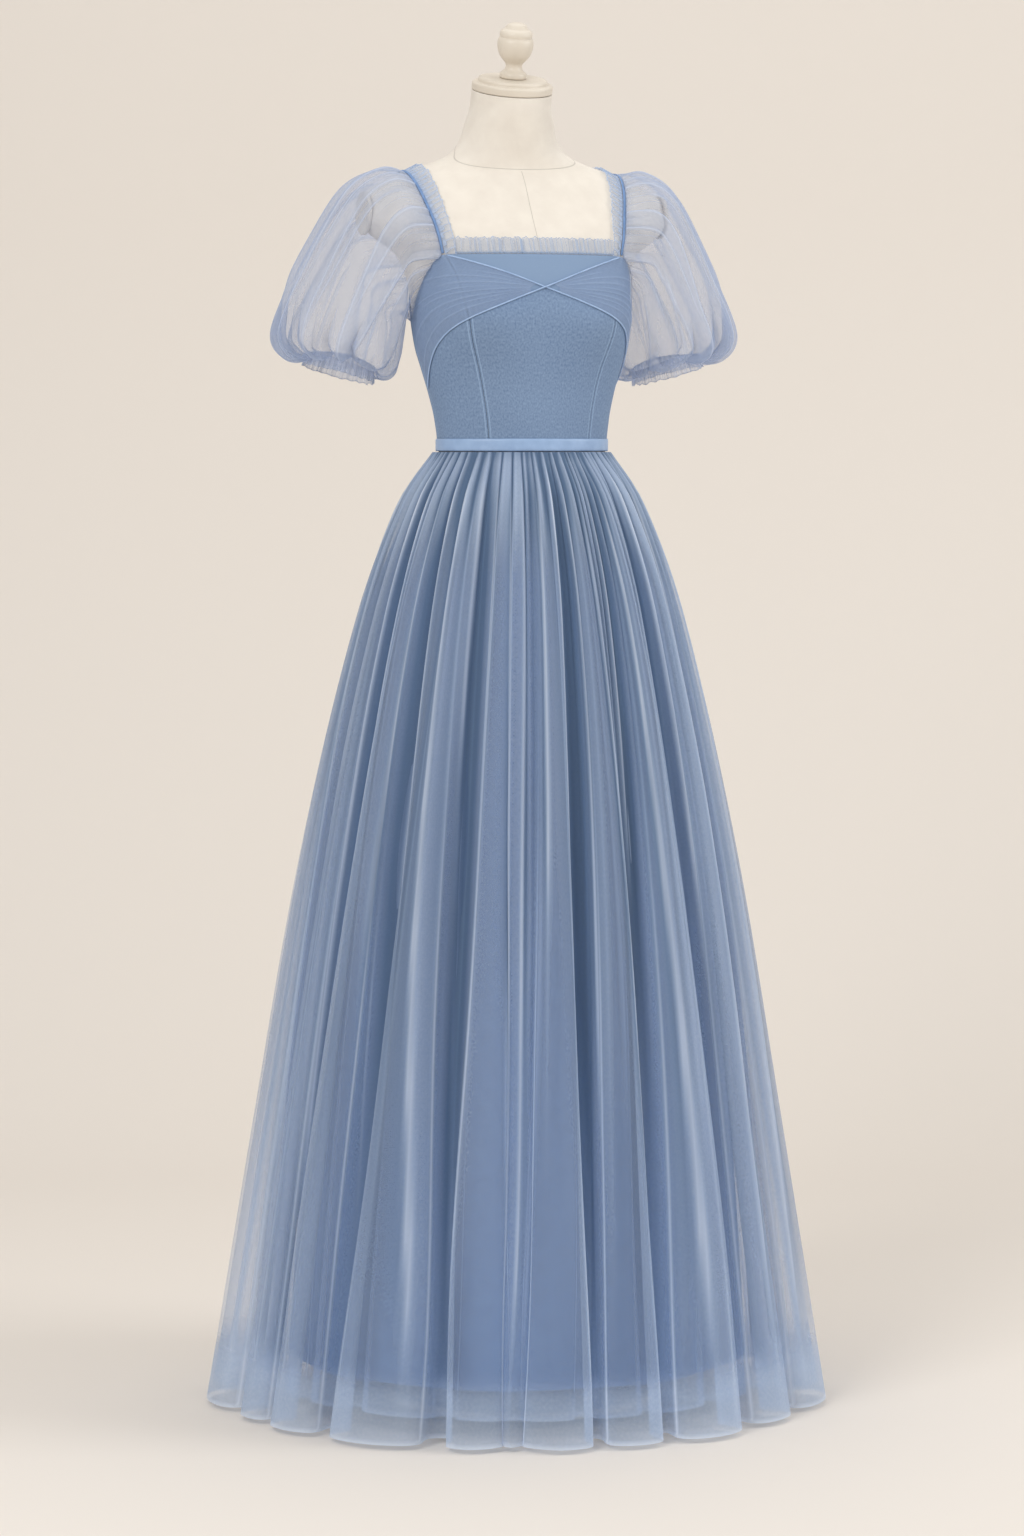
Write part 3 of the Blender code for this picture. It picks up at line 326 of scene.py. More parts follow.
class Nodes:
    """A material's node tree, with short calls that add and join its nodes."""

    def __init__(self, name: str) -> None:
        """Starts an empty material.

        Args:
            name: The material's name.
        """
        self.material = bpy.data.materials.new(name)
        self.material.use_nodes = True
        self.tree = self.material.node_tree
        self.tree.nodes.clear()
        self.output = self.tree.nodes.new("ShaderNodeOutputMaterial")

    def add(self, kind: str, inputs: dict | None = None, **settings: object) -> bpy.types.Node:
        """Adds a node.

        Args:
            kind: The node's type, without its ShaderNode prefix.
            inputs: Sockets' values, or the sockets that feed them.
            settings: The node's own properties.

        Returns:
            The node.
        """
        node = self.tree.nodes.new("ShaderNode" + kind)
        for name, value in settings.items():
            setattr(node, name, value)
        for key, value in (inputs or {}).items():
            if isinstance(value, Socket):
                self.tree.links.new(value, node.inputs[key])
            elif value is not None:
                node.inputs[key].default_value = value
        return node

    def math(self, operation: str, *values: object, clamp: bool = False) -> Socket:
        """Result of a Math node on the values or sockets given."""
        inputs = dict(enumerate(values))
        return self.add("Math", inputs, operation=operation, use_clamp=clamp).outputs[0]

    def blend(self, share: object, first: object, second: object) -> Socket:
        """Colour between two colours, by a share from 0 to 1."""
        inputs = {0: share, 6: rgba(first), 7: rgba(second)}
        return self.add("Mix", inputs, data_type="RGBA").outputs[2]

    def spread(self, value: object, low: float, high: float, to_low: float, to_high: float):
        """Value moved from one range to another and kept inside it."""
        inputs = {0: value, 1: low, 2: high, 3: to_low, 4: to_high}
        return self.add("MapRange", inputs).outputs[0]

    def mark(self, name: str) -> Socket:
        """A number that the mesh carries at its points."""
        return self.add("Attribute", attribute_name=name).outputs["Fac"]

    def noise(self, place: object, scale: float, detail: float = 3.0) -> Socket:
        """Uneven pattern from 0 to 1 of the given bumps to a metre."""
        inputs = {"Vector": place, "Scale": scale, "Detail": detail}
        return self.add("TexNoise", inputs).outputs[0]

    def stripes(self, place: object, turn: float, pitch: float) -> Socket:
        """Even threads across a surface.

        Args:
            place: Coordinates in metres.
            turn: The threads' angle, in degrees.
            pitch: Distance from thread to thread, in metres.

        Returns:
            The pattern, from 0 to 1.
        """
        inputs = {"Vector": place, "Rotation": (0.0, 0.0, math.radians(turn))}
        turned = self.add("Mapping", inputs).outputs[0]
        waves = {"Vector": turned, "Scale": 0.314 / pitch, "Distortion": 0.0, "Detail": 0.0}
        return self.add("TexWave", waves, bands_direction="X").outputs["Fac"]

    def bump(self, height: object, depth: float, strength: float = 1.0) -> Socket:
        """Normal of a surface raised by a pattern to the depth given, in metres."""
        return self.add("Bump", {"Strength": strength, "Distance": depth, "Height": height}).outputs[0]

    def cloth(
        self, colour: object, rough: object, shine: float, sheen: tuple, tint: object, normal: object
    ) -> Socket:
        """Shader of a cloth.

        Args:
            colour: Its colour.
            rough: Its roughness.
            shine: Level of its mirror light.
            sheen: Weight and roughness of its sheen.
            tint: Colour of its sheen, or none for white.
            normal: Its bumped normal.

        Returns:
            The shader's socket.
        """
        inputs = {
            "Base Color": colour, "Roughness": rough, "Specular IOR Level": shine, "Sheen Weight": sheen[0],
            "Sheen Roughness": sheen[1], "Sheen Tint": rgba(tint), "Normal": normal,
        }
        return self.add("BsdfPrincipled", inputs).outputs[0]

    def cloth_place(self) -> Socket:
        """Place on the cloth, in metres of its cut width and length."""
        return self.add("UVMap", uv_map="cloth").outputs[0]

    def object_place(self) -> Socket:
        """Place in the piece's own coordinates, in metres."""
        return self.add("TexCoord").outputs["Object"]

    def finish(self, surface: Socket) -> Material:
        """Joins the shader to the output and returns the material."""
        self.tree.links.new(surface, self.output.inputs["Surface"])
        return self.material


def rgba(colour: object) -> object:
    """A colour with full alpha, or the socket that was given."""
    return (*colour, 1.0) if isinstance(colour, tuple) and len(colour) == 3 else colour


@dataclass(frozen=True)
class TulleFinish:
    """Fine hexagonal net that covers more where it is gathered and where it turns away. Gathers are painted
    lighter and folds darker: painted highlight and painted shade.
    """

    name: str
    thread: Colour
    shade: Colour
    cover: float
    gathered_cover: float = 0.5
    turned_cover: float = 1.0
    grain: float = 0.16
    sheen: float = 0.25
    light_through: float = 0.35
    # Share of the shade colour that the painted shade in folds and hollows keeps
    painted_shade_shares: Colour = (0.86 * 0.36, 1.02 * 0.36, 1.16 * 0.36)
    net_pitch: float = 0.0021

    def material(self) -> Material:
        """Builds the net: its cover is 1 less the open share, raised to 1 over the facing.

        Returns:
            The material.
        """
        nodes = Nodes(self.name)
        place = nodes.cloth_place()
        one_way = nodes.stripes(place, 32.0, self.net_pitch)
        other_way = nodes.stripes(place, -32.0, self.net_pitch)
        net = nodes.math("MAXIMUM", one_way, other_way)
        cloud = nodes.noise(place, 260.0, 4.0)
        uneven = nodes.math("ADD", nodes.math("MULTIPLY", net, 0.6), cloud)
        lift = nodes.spread(uneven, 0.3, 1.3, 1.0 - self.grain, 1.0 + self.grain)
        gathered = nodes.mark("gathered")
        base = nodes.math("MULTIPLY", lift, self.cover)
        more = nodes.math("MULTIPLY", gathered, self.gathered_cover)
        # The painted shade mark also makes the net closer
        dense = nodes.math("MULTIPLY", nodes.math("ADD", nodes.mark("dense"), nodes.mark("painted_shade")), 0.45)
        whole = nodes.math("ADD", nodes.math("ADD", base, more), dense)
        face_on = nodes.math("MINIMUM", whole, 0.96)
        facing = nodes.add("LayerWeight", {"Blend": 0.5}).outputs["Facing"]
        towards = nodes.spread(facing, 0.0, 1.0, 1.0, 1.0 / (1.0 + 4.5 * self.turned_cover))
        open_share = nodes.math("SUBTRACT", 1.0, face_on)
        passed = nodes.math("POWER", open_share, nodes.math("DIVIDE", 1.0, towards))
        cover = nodes.math("SUBTRACT", 1.0, passed, clamp=True)
        # Where gathered, the colour goes to the lighter thread colour: partly the closer net's own colour,
        # partly a painted highlight on fold crests and edges
        tone = nodes.math("MAXIMUM", nodes.spread(cloud, 0.3, 0.7, 0.36, 0.56), gathered)
        flat = nodes.blend(tone, self.shade, self.thread)
        # Painted shade: the colour darkens towards this valley colour by the painted shade mark
        valley = tuple(share * value for share, value in zip(self.painted_shade_shares, self.shade))
        colour = nodes.blend(nodes.mark("painted_shade"), flat, valley)
        bump = nodes.bump(cloud, 0.00012, 0.5)
        cloth = nodes.cloth(colour, 0.78, 0.2, (self.sheen, 0.4), self.thread, bump)
        glow = nodes.add("BsdfTranslucent", {"Color": colour}).outputs[0]
        threads = nodes.add("MixShader", {0: self.light_through, 1: cloth, 2: glow}).outputs[0]
        clear = nodes.add("BsdfTransparent").outputs[0]
        return nodes.finish(nodes.add("MixShader", {0: cover, 1: clear, 2: threads}).outputs[0])


@dataclass(frozen=True)
class CrepeFinish:
    """Matt crepe under a fine mesh: mottled at a thread or two, with a few bright points.

    Over the drapes' crossing, in front, it is smoother and lighter.
    """

    name: str
    light: Colour
    dark: Colour
    mottle_bumps: float = 330.0
    smooth_above: float = 1.330
    smooth_ahead: float = -0.05
    glint: float = 0.35
    stitch_away: float = 0.0024

    def material(self) -> Material:
        """Builds the crepe: two tones by a fine pattern, a slow wash and small glints.

        Returns:
            The material.
        """
        nodes = Nodes(self.name)
        place = nodes.cloth_place()
        fine = nodes.noise(place, self.mottle_bumps, 5.0)
        threads = nodes.stripes(place, 40.0, 0.0017)
        counter = nodes.stripes(place, -40.0, 0.0017)
        wash = nodes.noise(nodes.object_place(), 9.0, 2.0)
        mesh = nodes.math("MULTIPLY", nodes.math("ADD", threads, counter), 0.5)
        tone = nodes.math("ADD", nodes.math("MULTIPLY", fine, 1.1), nodes.math("MULTIPLY", mesh, 0.12))
        tone = nodes.math("ADD", tone, nodes.math("MULTIPLY", wash, 0.25))
        share = nodes.spread(tone, 0.30, 1.20, 0.0, 1.0)
        parted = nodes.add("SeparateXYZ", {"Vector": nodes.object_place()}).outputs
        above = nodes.spread(parted["Z"], self.smooth_above, self.smooth_above + 0.004, 0.0, 0.66)
        ahead = nodes.spread(parted["Y"], self.smooth_ahead, self.smooth_ahead + 0.03, 1.0, 0.0)
        smooth = nodes.math("MULTIPLY", above, ahead)
        share = nodes.math("MAXIMUM", share, smooth)
        away = nodes.mark("seam_away")
        fold = nodes.spread(away, 0.0, 0.0007, 0.05, 0.0)
        off_stitch = nodes.math("ABSOLUTE", nodes.math("SUBTRACT", away, self.stitch_away))
        stitch = nodes.spread(off_stitch, 0.0002, 0.0009, 0.55, 0.0)
        flat = nodes.blend(share, self.dark, self.light)
        flat = nodes.blend(fold, flat, tuple(0.5 * value for value in self.dark))
        colour = nodes.blend(stitch, flat, tuple(1.25 * value for value in self.light))
        cells = nodes.add("TexVoronoi", {"Vector": place, "Scale": 700.0}, feature="F1")
        spark = nodes.math("GREATER_THAN", cells.outputs["Color"], 0.93)
        rough = nodes.spread(nodes.math("MULTIPLY", spark, self.glint), 0.0, 1.0, 0.72, 0.2)
        height = nodes.math("ADD", fine, nodes.math("MULTIPLY", mesh, 0.4))
        bump = nodes.bump(height, 0.00012, 0.7)
        return nodes.finish(nodes.cloth(colour, rough, 0.3, (0.25, 0.5), self.light, bump))


@dataclass(frozen=True)
class SatinFinish:
    """Smooth or ribbed satin: fine crossways ribs and long soft streaks."""

    name: str
    light: Colour
    dark: Colour
    roughness: float
    rib_pitch: float = 0.0008
    rib_depth: float = 0.00006
    sheen: float = 0.15

    def material(self) -> Material:
        """Builds the satin: tone and bump from its ribs and streaks.

        Returns:
            The material.
        """
        nodes = Nodes(self.name)
        place = nodes.cloth_place()
        ribs = nodes.stripes(place, 0.0, self.rib_pitch)
        streaks = nodes.noise(place, 60.0, 3.0)
        share = nodes.spread(streaks, 0.3, 0.7, 0.0, 1.0)
        colour = nodes.blend(share, self.dark, self.light)
        bump = nodes.bump(nodes.math("ADD", ribs, streaks), self.rib_depth, 0.6)
        return nodes.finish(nodes.cloth(colour, self.roughness, 0.45, (self.sheen, 0.35), self.light, bump))


@dataclass(frozen=True)
class LinenFinish:
    """Cream cover of the form: plain weave, slubs and thin pressed seams."""

    name: str
    light: Colour
    dark: Colour
    seam_half_width: float = 0.0006
    weave_pitch: float = 0.0011

    def material(self) -> Material:
        """Builds the linen: weave, slow washes and a dark line where a seam's distance is nil.

        Returns:
            The material.
        """
        nodes = Nodes(self.name)
        place = nodes.cloth_place()
        warp = nodes.stripes(place, 0.0, self.weave_pitch)
        weft = nodes.stripes(place, 90.0, self.weave_pitch)
        weave = nodes.math("MULTIPLY", nodes.math("ADD", warp, weft), 0.5)
        slub = nodes.noise(nodes.object_place(), 45.0, 4.0)
        tone = nodes.math("ADD", slub, nodes.math("MULTIPLY", weave, 0.25))
        share = nodes.spread(tone, 0.4, 0.95, 0.0, 1.0)
        line = None
        for name in ("centre_seam", "panel_seam", "neck_seam"):
            away = nodes.math("ABSOLUTE", nodes.mark(name))
            near = nodes.spread(away, 0.0, self.seam_half_width, 1.0, 0.0)
            line = near if line is None else nodes.math("MAXIMUM", line, near)
        flat = nodes.blend(share, self.dark, self.light)
        seam_colour = tuple(0.62 * value for value in self.dark)
        colour = nodes.blend(nodes.math("MULTIPLY", line, 0.75), flat, seam_colour)
        height = nodes.math("SUBTRACT", nodes.math("MULTIPLY", weave, 0.12), line)
        bump = nodes.bump(height, 0.0005, 0.7)
        return nodes.finish(nodes.cloth(colour, 0.82, 0.25, (0.12, 0.5), None, bump))


@dataclass(frozen=True)
class CoatFinish:
    """Painted or coated hard surface with faint brush or powder texture."""

    name: str
    light: Colour
    dark: Colour
    roughness: float
    metallic: float = 0.0
    bumps: float = 180.0
    depth: float = 0.0001

    def material(self) -> Material:
        """Builds the coat: a slow wash of two tones and a fine texture in gloss and height.

        Returns:
            The material.
        """
        nodes = Nodes(self.name)
        place = nodes.object_place()
        fine = nodes.noise(place, self.bumps, 4.0)
        wash = nodes.noise(place, 12.0, 2.0)
        gloss = nodes.spread(fine, 0.3, 0.7, self.roughness - 0.06, self.roughness + 0.08)
        coat = nodes.add(
            "BsdfPrincipled",
            {
                "Base Color": nodes.blend(nodes.spread(wash, 0.35, 0.65, 0.0, 1.0), self.dark, self.light),
                "Roughness": gloss,
                "Metallic": self.metallic,
                "Normal": nodes.bump(fine, self.depth, 0.4),
            },
        )
        return nodes.finish(coat.outputs[0])


class Finish(Enum):
    """Every finish on the gown and its form."""

    OUTER_TULLE = TulleFinish(
        "outer_tulle", dye(226, 236, 250), dye(170, 196, 231), 0.19, gathered_cover=0.66, turned_cover=0.1
    )
    MIDDLE_TULLE = TulleFinish(
        "middle_tulle", dye(200, 217, 243), dye(152, 179, 220), 0.18, gathered_cover=0.5, turned_cover=0.12
    )
    SLEEVE_TULLE = TulleFinish(
        "sleeve_tulle", dye(206, 216, 235), dye(160, 177, 210), 0.27, 0.5, turned_cover=0.45, grain=0.03
    )
    RUFFLE_TULLE = TulleFinish(
        "ruffle_tulle", dye(190, 207, 234), dye(154, 176, 210), 0.27, gathered_cover=0.6, turned_cover=0.6
    )
    FRILL_TULLE = TulleFinish(
        "frill_tulle", dye(204, 212, 230), dye(172, 186, 214), 0.42, gathered_cover=0.5, turned_cover=0.4
    )
    DRAPE_TULLE = TulleFinish(
        "drape_tulle", dye(190, 206, 230), dye(156, 177, 208), 0.40, gathered_cover=0.45, turned_cover=0.1
    )
    LINING = SatinFinish(
        "skirt_lining", dye(92, 126, 173), dye(84, 117, 164), 0.62, 0.004, 0.00001, sheen=0.2
    )
    BODICE_CREPE = CrepeFinish("bodice_crepe", dye(140, 162, 190), dye(84, 107, 141))
    RIBBON_SATIN = SatinFinish("waist_satin", dye(152, 178, 212), dye(138, 164, 200), 0.38)
    BINDING = SatinFinish("drape_edge", dye(164, 188, 220), dye(142, 168, 204), 0.5, 0.0012, 0.0001)
    PIPING = SatinFinish("piping", dye(118, 149, 193), dye(98, 128, 172), 0.6, 0.0012, 0.00015)
    LINEN = LinenFinish("form_linen", dye(227, 220, 209), dye(218, 210, 199))
    CREAM_PAINT = CoatFinish("cream_paint", dye(219, 210, 196), dye(209, 199, 184), 0.42)
    STAND_COAT = CoatFinish("stand_coat", dye(238, 230, 218), dye(226, 216, 202), 0.5, 0.0, 900.0)
    ZIP_COAT = CoatFinish("zip_coat", dye(132, 160, 204), dye(108, 136, 182), 0.36, 0.5, 400.0, 0.00004)

    def made(self) -> Material:
        """The finish's material, built the first time that it is asked for.

        Returns:
            The material.
        """
        found = bpy.data.materials.get(self.value.name + "_finish")
        if found is None:
            found = self.value.material()
            found.name = self.value.name + "_finish"
        return found


class Slot(Enum):
    """Names of the record's material slots, passed with each piece but not read."""

    BODICE = "bodice_mesh"
    DRAPE = "drape_tulle"
    SKIRT = "skirt_tulle"
    SLEEVE = "sleeve_tulle"
    LINING = "skirt_lining"
    RIBBON = "satin_ribbon"
    PIPING = "piping"
    LINEN = "form_linen"
    PAINT = "cream_paint"
    STAND = "stand_metal"
    ZIP = "zip_metal"


class Held(Enum):
    """How a sheet of cloth is held."""

    GATHERED = "gathered"
    STRETCHED = "stretched"
    LAID = "laid"


@dataclass(frozen=True)
class Section:
    """Oval section of the padded form at a height."""

    height: float
    half_width: float
    front: float
    back: float


@dataclass(frozen=True)
class StrapLine:
    """Distance from the body's middle of one edge of a strap, at its front, top and back."""

    front: float
    top: float
    back: float

    def towards(self, other: "StrapLine", share: float) -> "StrapLine":
        """Line a share of the way to another."""
        ends = zip((self.front, self.top, self.back), (other.front, other.top, other.back))
        return StrapLine(*(start + (end - start) * share for start, end in ends))


def column_at(rows: tuple, name: str, height: Array) -> Array:
    """One column of a table of sections, on a smooth curve at each height."""
    return smooth_curve([row.height for row in rows], [getattr(row, name) for row in rows], height)


@dataclass
class BodyShape:
    """Shape of the padded form, which the bodice and the straps lie on."""

    sections: tuple[Section, ...] = (
        Section(0.930, 0.146, -0.096, 0.110), Section(0.990, 0.146, -0.095, 0.110),
        Section(1.060, 0.127, -0.088, 0.098), Section(1.105, 0.1110, -0.0835, 0.0855),
        Section(1.150, 0.1010, -0.0800, 0.0775), Section(1.180, 0.1040, -0.0815, 0.0810),
        Section(1.212, 0.1110, -0.0830, 0.0870), Section(1.240, 0.1190, -0.0860, 0.0930),
        Section(1.268, 0.1270, -0.0890, 0.0985), Section(1.300, 0.1315, -0.0910, 0.1040),
        Section(1.335, 0.1345, -0.0860, 0.1090), Section(1.374, 0.1470, -0.0720, 0.1120),
        Section(1.400, 0.1790, -0.0560, 0.1130), Section(1.420, 0.1980, -0.0410, 0.1125),
        Section(1.440, 0.1960, -0.0270, 0.1100), Section(1.458, 0.1700, -0.0150, 0.1075),
        Section(1.469, 0.1500, -0.0060, 0.1060), Section(1.479, 0.1220, 0.0020, 0.1060),
        Section(1.488, 0.0940, 0.0010, 0.1090), Section(1.500, 0.0700, -0.0015, 0.1130),
        Section(1.515, 0.0590, -0.0045, 0.1120), Section(1.540, 0.0520, -0.0100, 0.1060),
    )
    arm_plane: float = 0.184
    bust_angle: float = 37.0
    bust_spread: float = 23.0
    bust_height: float = 1.297
    bust_reach: float = 0.040
    bust_depth: float = 0.017
    form_bust_share: float = 0.86
    shoulder_y: float = 0.045
    shoulder_height: float = 1.400
    shoulder_search: float = 0.14
    strap_front_angle: float = -105.9
    strap_back_angle: float = 89.0
    strap_arch: float = 1.5

    def section(self, height: Array) -> tuple[Array, Array, Array]:
        """Half width, middle and half depth of the form at each height.

        Args:
            height: Heights above the floor.

        Returns:
            The three measures at each height.
        """
        half_width = column_at(self.sections, "half_width", height)
        front, back = (column_at(self.sections, name, height) for name in ("front", "back"))
        return half_width, (front + back) / 2, (back - front) / 2

    def surface(self, angle: Array, height: Array, bust_share: float = 1.0) -> Array:
        """Points of the oval sections, with the bust added as two bell-shaped rounds.

        Args:
            angle: Degrees round the body from the front, towards the wearer's left.
            height: Heights above the floor.
            bust_share: How much of the bust is added, from 0 to 1.

        Returns:
            The points.
        """
        angle, height = np.broadcast_arrays(np.asarray(angle, float), height)
        turn = np.radians(angle)
        half_width, middle, half_depth = self.section(height)
        beside = (np.abs(angle) - self.bust_angle) / self.bust_spread
        above = (height - self.bust_height) / self.bust_reach
        bust = bust_share * self.bust_depth * np.exp(-(beside**2) - above**2)
        x = (half_width + bust * np.abs(np.sin(turn))) * np.sin(turn)
        y = middle - (half_depth + bust * np.cos(turn)) * np.cos(turn)
        return np.stack([np.clip(x, -self.arm_plane, self.arm_plane), y, height], axis=-1)

    def off(self, angle: Array, height: Array, gap: Array) -> Array:
        """Points a gap away from the form, along its normal.

        Args:
            angle: Degrees round the body from the front, towards the wearer's left.
            height: Heights above the floor.
            gap: Distance from the form.

        Returns:
            The points.
        """
        angle, height = np.broadcast_arrays(np.asarray(angle, float), height)
        across = self.surface(angle + 0.1, height) - self.surface(angle - 0.1, height)
        up = self.surface(angle, height + 0.0004) - self.surface(angle, height - 0.0004)
        return self.surface(angle, height) + unit(np.cross(across, up)) * np.asarray(gap)[..., None]

    def over_shoulder(self, x: Array, angle: Array) -> Array:
        """Points of the form in the plane of one x, found by halving along a ray.

        Args:
            x: Distance from the body's middle.
            angle: Angle from up, seen from the middle of the shoulder. It is below zero in front.

        Returns:
            The points.
        """
        x, angle = np.broadcast_arrays(np.asarray(x, float), np.radians(angle))
        near, far = np.zeros(x.shape), np.full(x.shape, self.shoulder_search)
        for _ in range(40):
            middle = (near + far) / 2
            y = self.shoulder_y + middle * np.sin(angle)
            z = self.shoulder_height + middle * np.cos(angle)
            half_width, centre, half_depth = self.section(z)
            inside = (x / half_width) ** 2 + ((y - centre) / half_depth) ** 2 < 1.0
            near, far = np.where(inside, middle, near), np.where(inside, far, middle)
        return np.stack([x, y, z], axis=-1)

    def strap_x(self, line: StrapLine, angle: Array) -> Array:
        """Distance from the middle of a strap's edge, on an arch over the shoulder.

        Args:
            line: The strap's edge.
            angle: Angle from up, as over_shoulder takes it.

        Returns:
            The distance at each angle.
        """
        ahead = np.clip(angle / self.strap_front_angle, 0.0, 1.0) ** self.strap_arch
        behind = np.clip(angle / self.strap_back_angle, 0.0, 1.0) ** self.strap_arch
        return line.top + (line.front - line.top) * ahead + (line.back - line.top) * behind


def turned(profile: Array, count: int) -> Array:
    """A profile of radius and height turned round the upright axis.

    Args:
        profile: Radius and height of each point.
        count: Points round the axis.

    Returns:
        The grid.
    """
    turn = np.arange(count) * 2 * np.pi / count
    x = profile[:, :1] * np.sin(turn)
    y = -profile[:, :1] * np.cos(turn)
    return np.stack([x, y, np.broadcast_to(profile[:, 1:], x.shape)], axis=-1)


@dataclass
class DressForm:
    """Padded torso with its neck cap, finial, arm plates, pole and base."""

    body: BodyShape
    underside: float = 0.930
    neck_rise: float = 1.540
    neck_top: tuple[float, float, float] = (0.0, 0.038, 1.573)
    neck_radius: float = 0.0485
    neck_tilt: float = math.radians(14.0)
    seam_gap: float = 0.0003
    princess_angle: float = 46.0
    neck_seam_front: float = 1.478
    neck_seam_rise: float = 0.052
    cap_profile: Profile = (
        (0.0462, 0.0), (0.0474, 0.0003), (0.0483, 0.0010), (0.0485, 0.0020), (0.0485, 0.0075),
        (0.0481, 0.0088), (0.0470, 0.0097), (0.0455, 0.0101), (0.0428, 0.0104), (0.0420, 0.0108),
        (0.0418, 0.0128), (0.0413, 0.0142), (0.0402, 0.0151), (0.0390, 0.0154), (0.0280, 0.0155),
        (0.0160, 0.0155),
    )
    finial_profile: Profile = (
        (0.0150, 0.0), (0.0160, 0.0008), (0.0163, 0.0024), (0.0158, 0.0058), (0.0140, 0.0076),
        (0.0120, 0.0092), (0.0104, 0.0114), (0.0098, 0.0140), (0.0101, 0.0164), (0.0110, 0.0182),
        (0.0128, 0.0203), (0.0158, 0.0237), (0.0182, 0.0272), (0.0202, 0.0318), (0.0213, 0.0362),
        (0.0217, 0.0405), (0.0214, 0.0442), (0.0206, 0.0470), (0.0193, 0.0487), (0.0190, 0.0492),
        (0.0193, 0.0498), (0.0197, 0.0512), (0.0197, 0.0535), (0.0191, 0.0556), (0.0176, 0.0573),
        (0.0158, 0.0583), (0.0143, 0.0592), (0.0132, 0.0608), (0.0119, 0.0628), (0.0098, 0.0647),
        (0.0064, 0.0660), (0.0024, 0.0664),
    )
    base_profile: Profile = (
        (0.1590, 0.0), (0.1600, 0.0010), (0.1600, 0.0078), (0.1595, 0.0094), (0.1582, 0.0105),
        (0.1560, 0.0110), (0.0380, 0.0138), (0.0330, 0.0143), (0.0280, 0.0160), (0.0246, 0.0190),
        (0.0234, 0.0230), (0.0226, 0.0300), (0.0222, 0.0390), (0.0214, 0.0399),
    )
    pole_radius: float = 0.015
    plate_half_height: float = 0.026
    plate_half_depth: float = 0.030
    plate_middle: tuple[float, float] = (0.035, 1.425)

    def torso(self) -> None:
        """Builds the linen torso: oval sections up to the neck, then a smooth run to its top."""
        angle = np.arange(240) * 360.0 / 240
        angle = np.where(angle > 180.0, angle - 360.0, angle)[None, :]
        height = np.linspace(self.underside + 0.004, self.neck_rise, 190)[:, None]
        rings = self.body.surface(angle, height, self.body.form_bust_share)
        turn = np.radians(angle[0])
        lean = -self.neck_radius * np.cos(turn)
        x = self.neck_radius * np.sin(turn)
        y = self.neck_top[1] + lean * math.cos(self.neck_tilt)
        z = self.neck_top[2] + lean * math.sin(self.neck_tilt)
        top = np.stack([x, y, z], axis=-1)
        neck = smooth_rows(np.stack([rings[-16], rings[-1], top]), 41)
        neck = neck[neck[..., 2].mean(axis=1) > self.neck_rise]
        lower = [self.shrunk(rings[0], share, drop) for share, drop in ((0.955, 0.004), (0.985, 0.002))]
        grid = np.concatenate([np.stack(lower), rings[:-1], neck])
        flat_angle = np.broadcast_to(angle, grid.shape[:2])
        half_width = self.body.section(np.clip(grid[..., 2], self.underside, self.neck_rise))[0]
        around = np.radians(np.abs(flat_angle)) * half_width
        panel = np.radians(np.abs(flat_angle) - self.princess_angle) * half_width
        ring_seam = self.neck_seam_front + self.neck_seam_rise * (1 - np.cos(np.radians(flat_angle))) / 2
        back = np.radians(180.0 - np.abs(flat_angle)) * half_width
        below_neck = grid[..., 2] < ring_seam + 0.0006
        marks = {
            "centre_seam": np.where(below_neck, np.minimum(around, back), 1.0),
            "panel_seam": np.where(grid[..., 2] < self.body.bust_height, panel, 1.0),
            "neck_seam": grid[..., 2] - ring_seam,
        }
        torso = Surface("form_torso_linen", grid, closed=True, capped=True, marks=marks)
        torso.build(Finish.LINEN, Slot.LINEN, ["form_torso"])

    def shrunk(self, ring: Array, share: float, drop: float) -> Array:
        """A ring drawn in towards its middle and lowered, for a rounded edge."""
        middle = ring.mean(axis=0)
        return middle + (ring - middle) * share - np.array([0.0, 0.0, drop])

    def on_neck(self, profile: Profile, rows: int, lift: float) -> Array:
        """A turned profile stood on the tilted top of the neck.

        Args:
            profile: Radius and height of each point.
            rows: Rows to make of it on a smooth curve.
            lift: Height above the neck's top, along its tilted axis.

        Returns:
            The grid.
        """
        grid = turned(smooth_rows(np.array(profile), rows), 128)
        grid[..., 2] += lift
        cosine, sine = math.cos(self.neck_tilt), math.sin(self.neck_tilt)
        y = grid[..., 1] * cosine - grid[..., 2] * sine
        z = grid[..., 1] * sine + grid[..., 2] * cosine
        return np.stack([grid[..., 0], y, z], axis=-1) + np.array(self.neck_top)

    def head(self) -> None:
        """Builds the painted neck cap and the finial on it."""
        paint, slot = Finish.CREAM_PAINT, Slot.PAINT
        cap = Surface("neck_cap_paint", self.on_neck(self.cap_profile, 60, self.seam_gap), True, True)
        cap.build(paint, slot, ["neck_cap"])
        lift = self.cap_profile[-1][1] + 2 * self.seam_gap
        finial = Surface("finial_paint", self.on_neck(self.finial_profile, 110, lift), True, True)
        finial.build(paint, slot, ["finial"])

    def arm_plates(self) -> None:
        """Builds the oval plates that close the form where its arms would start."""
        profile = np.array([(0.992, 0.0), (1.0, 0.0004), (1.0, 0.0028), (0.988, 0.0036), (0.94, 0.0040)])
        plate = turned(profile, 96) * np.array([self.plate_half_height, self.plate_half_depth, 1.0])
        for side, name in ((1, "arm_plate_left"), (-1, "arm_plate_right")):
            x = side * (self.body.arm_plane + self.seam_gap + plate[..., 2])
            y, z = self.plate_middle[0] + plate[..., 1], self.plate_middle[1] - side * plate[..., 0]
            grid = np.stack([x, y, z], axis=-1)
            piece = Surface(name + "_paint", grid, True, True)
            piece.build(Finish.CREAM_PAINT, Slot.PAINT, [name])

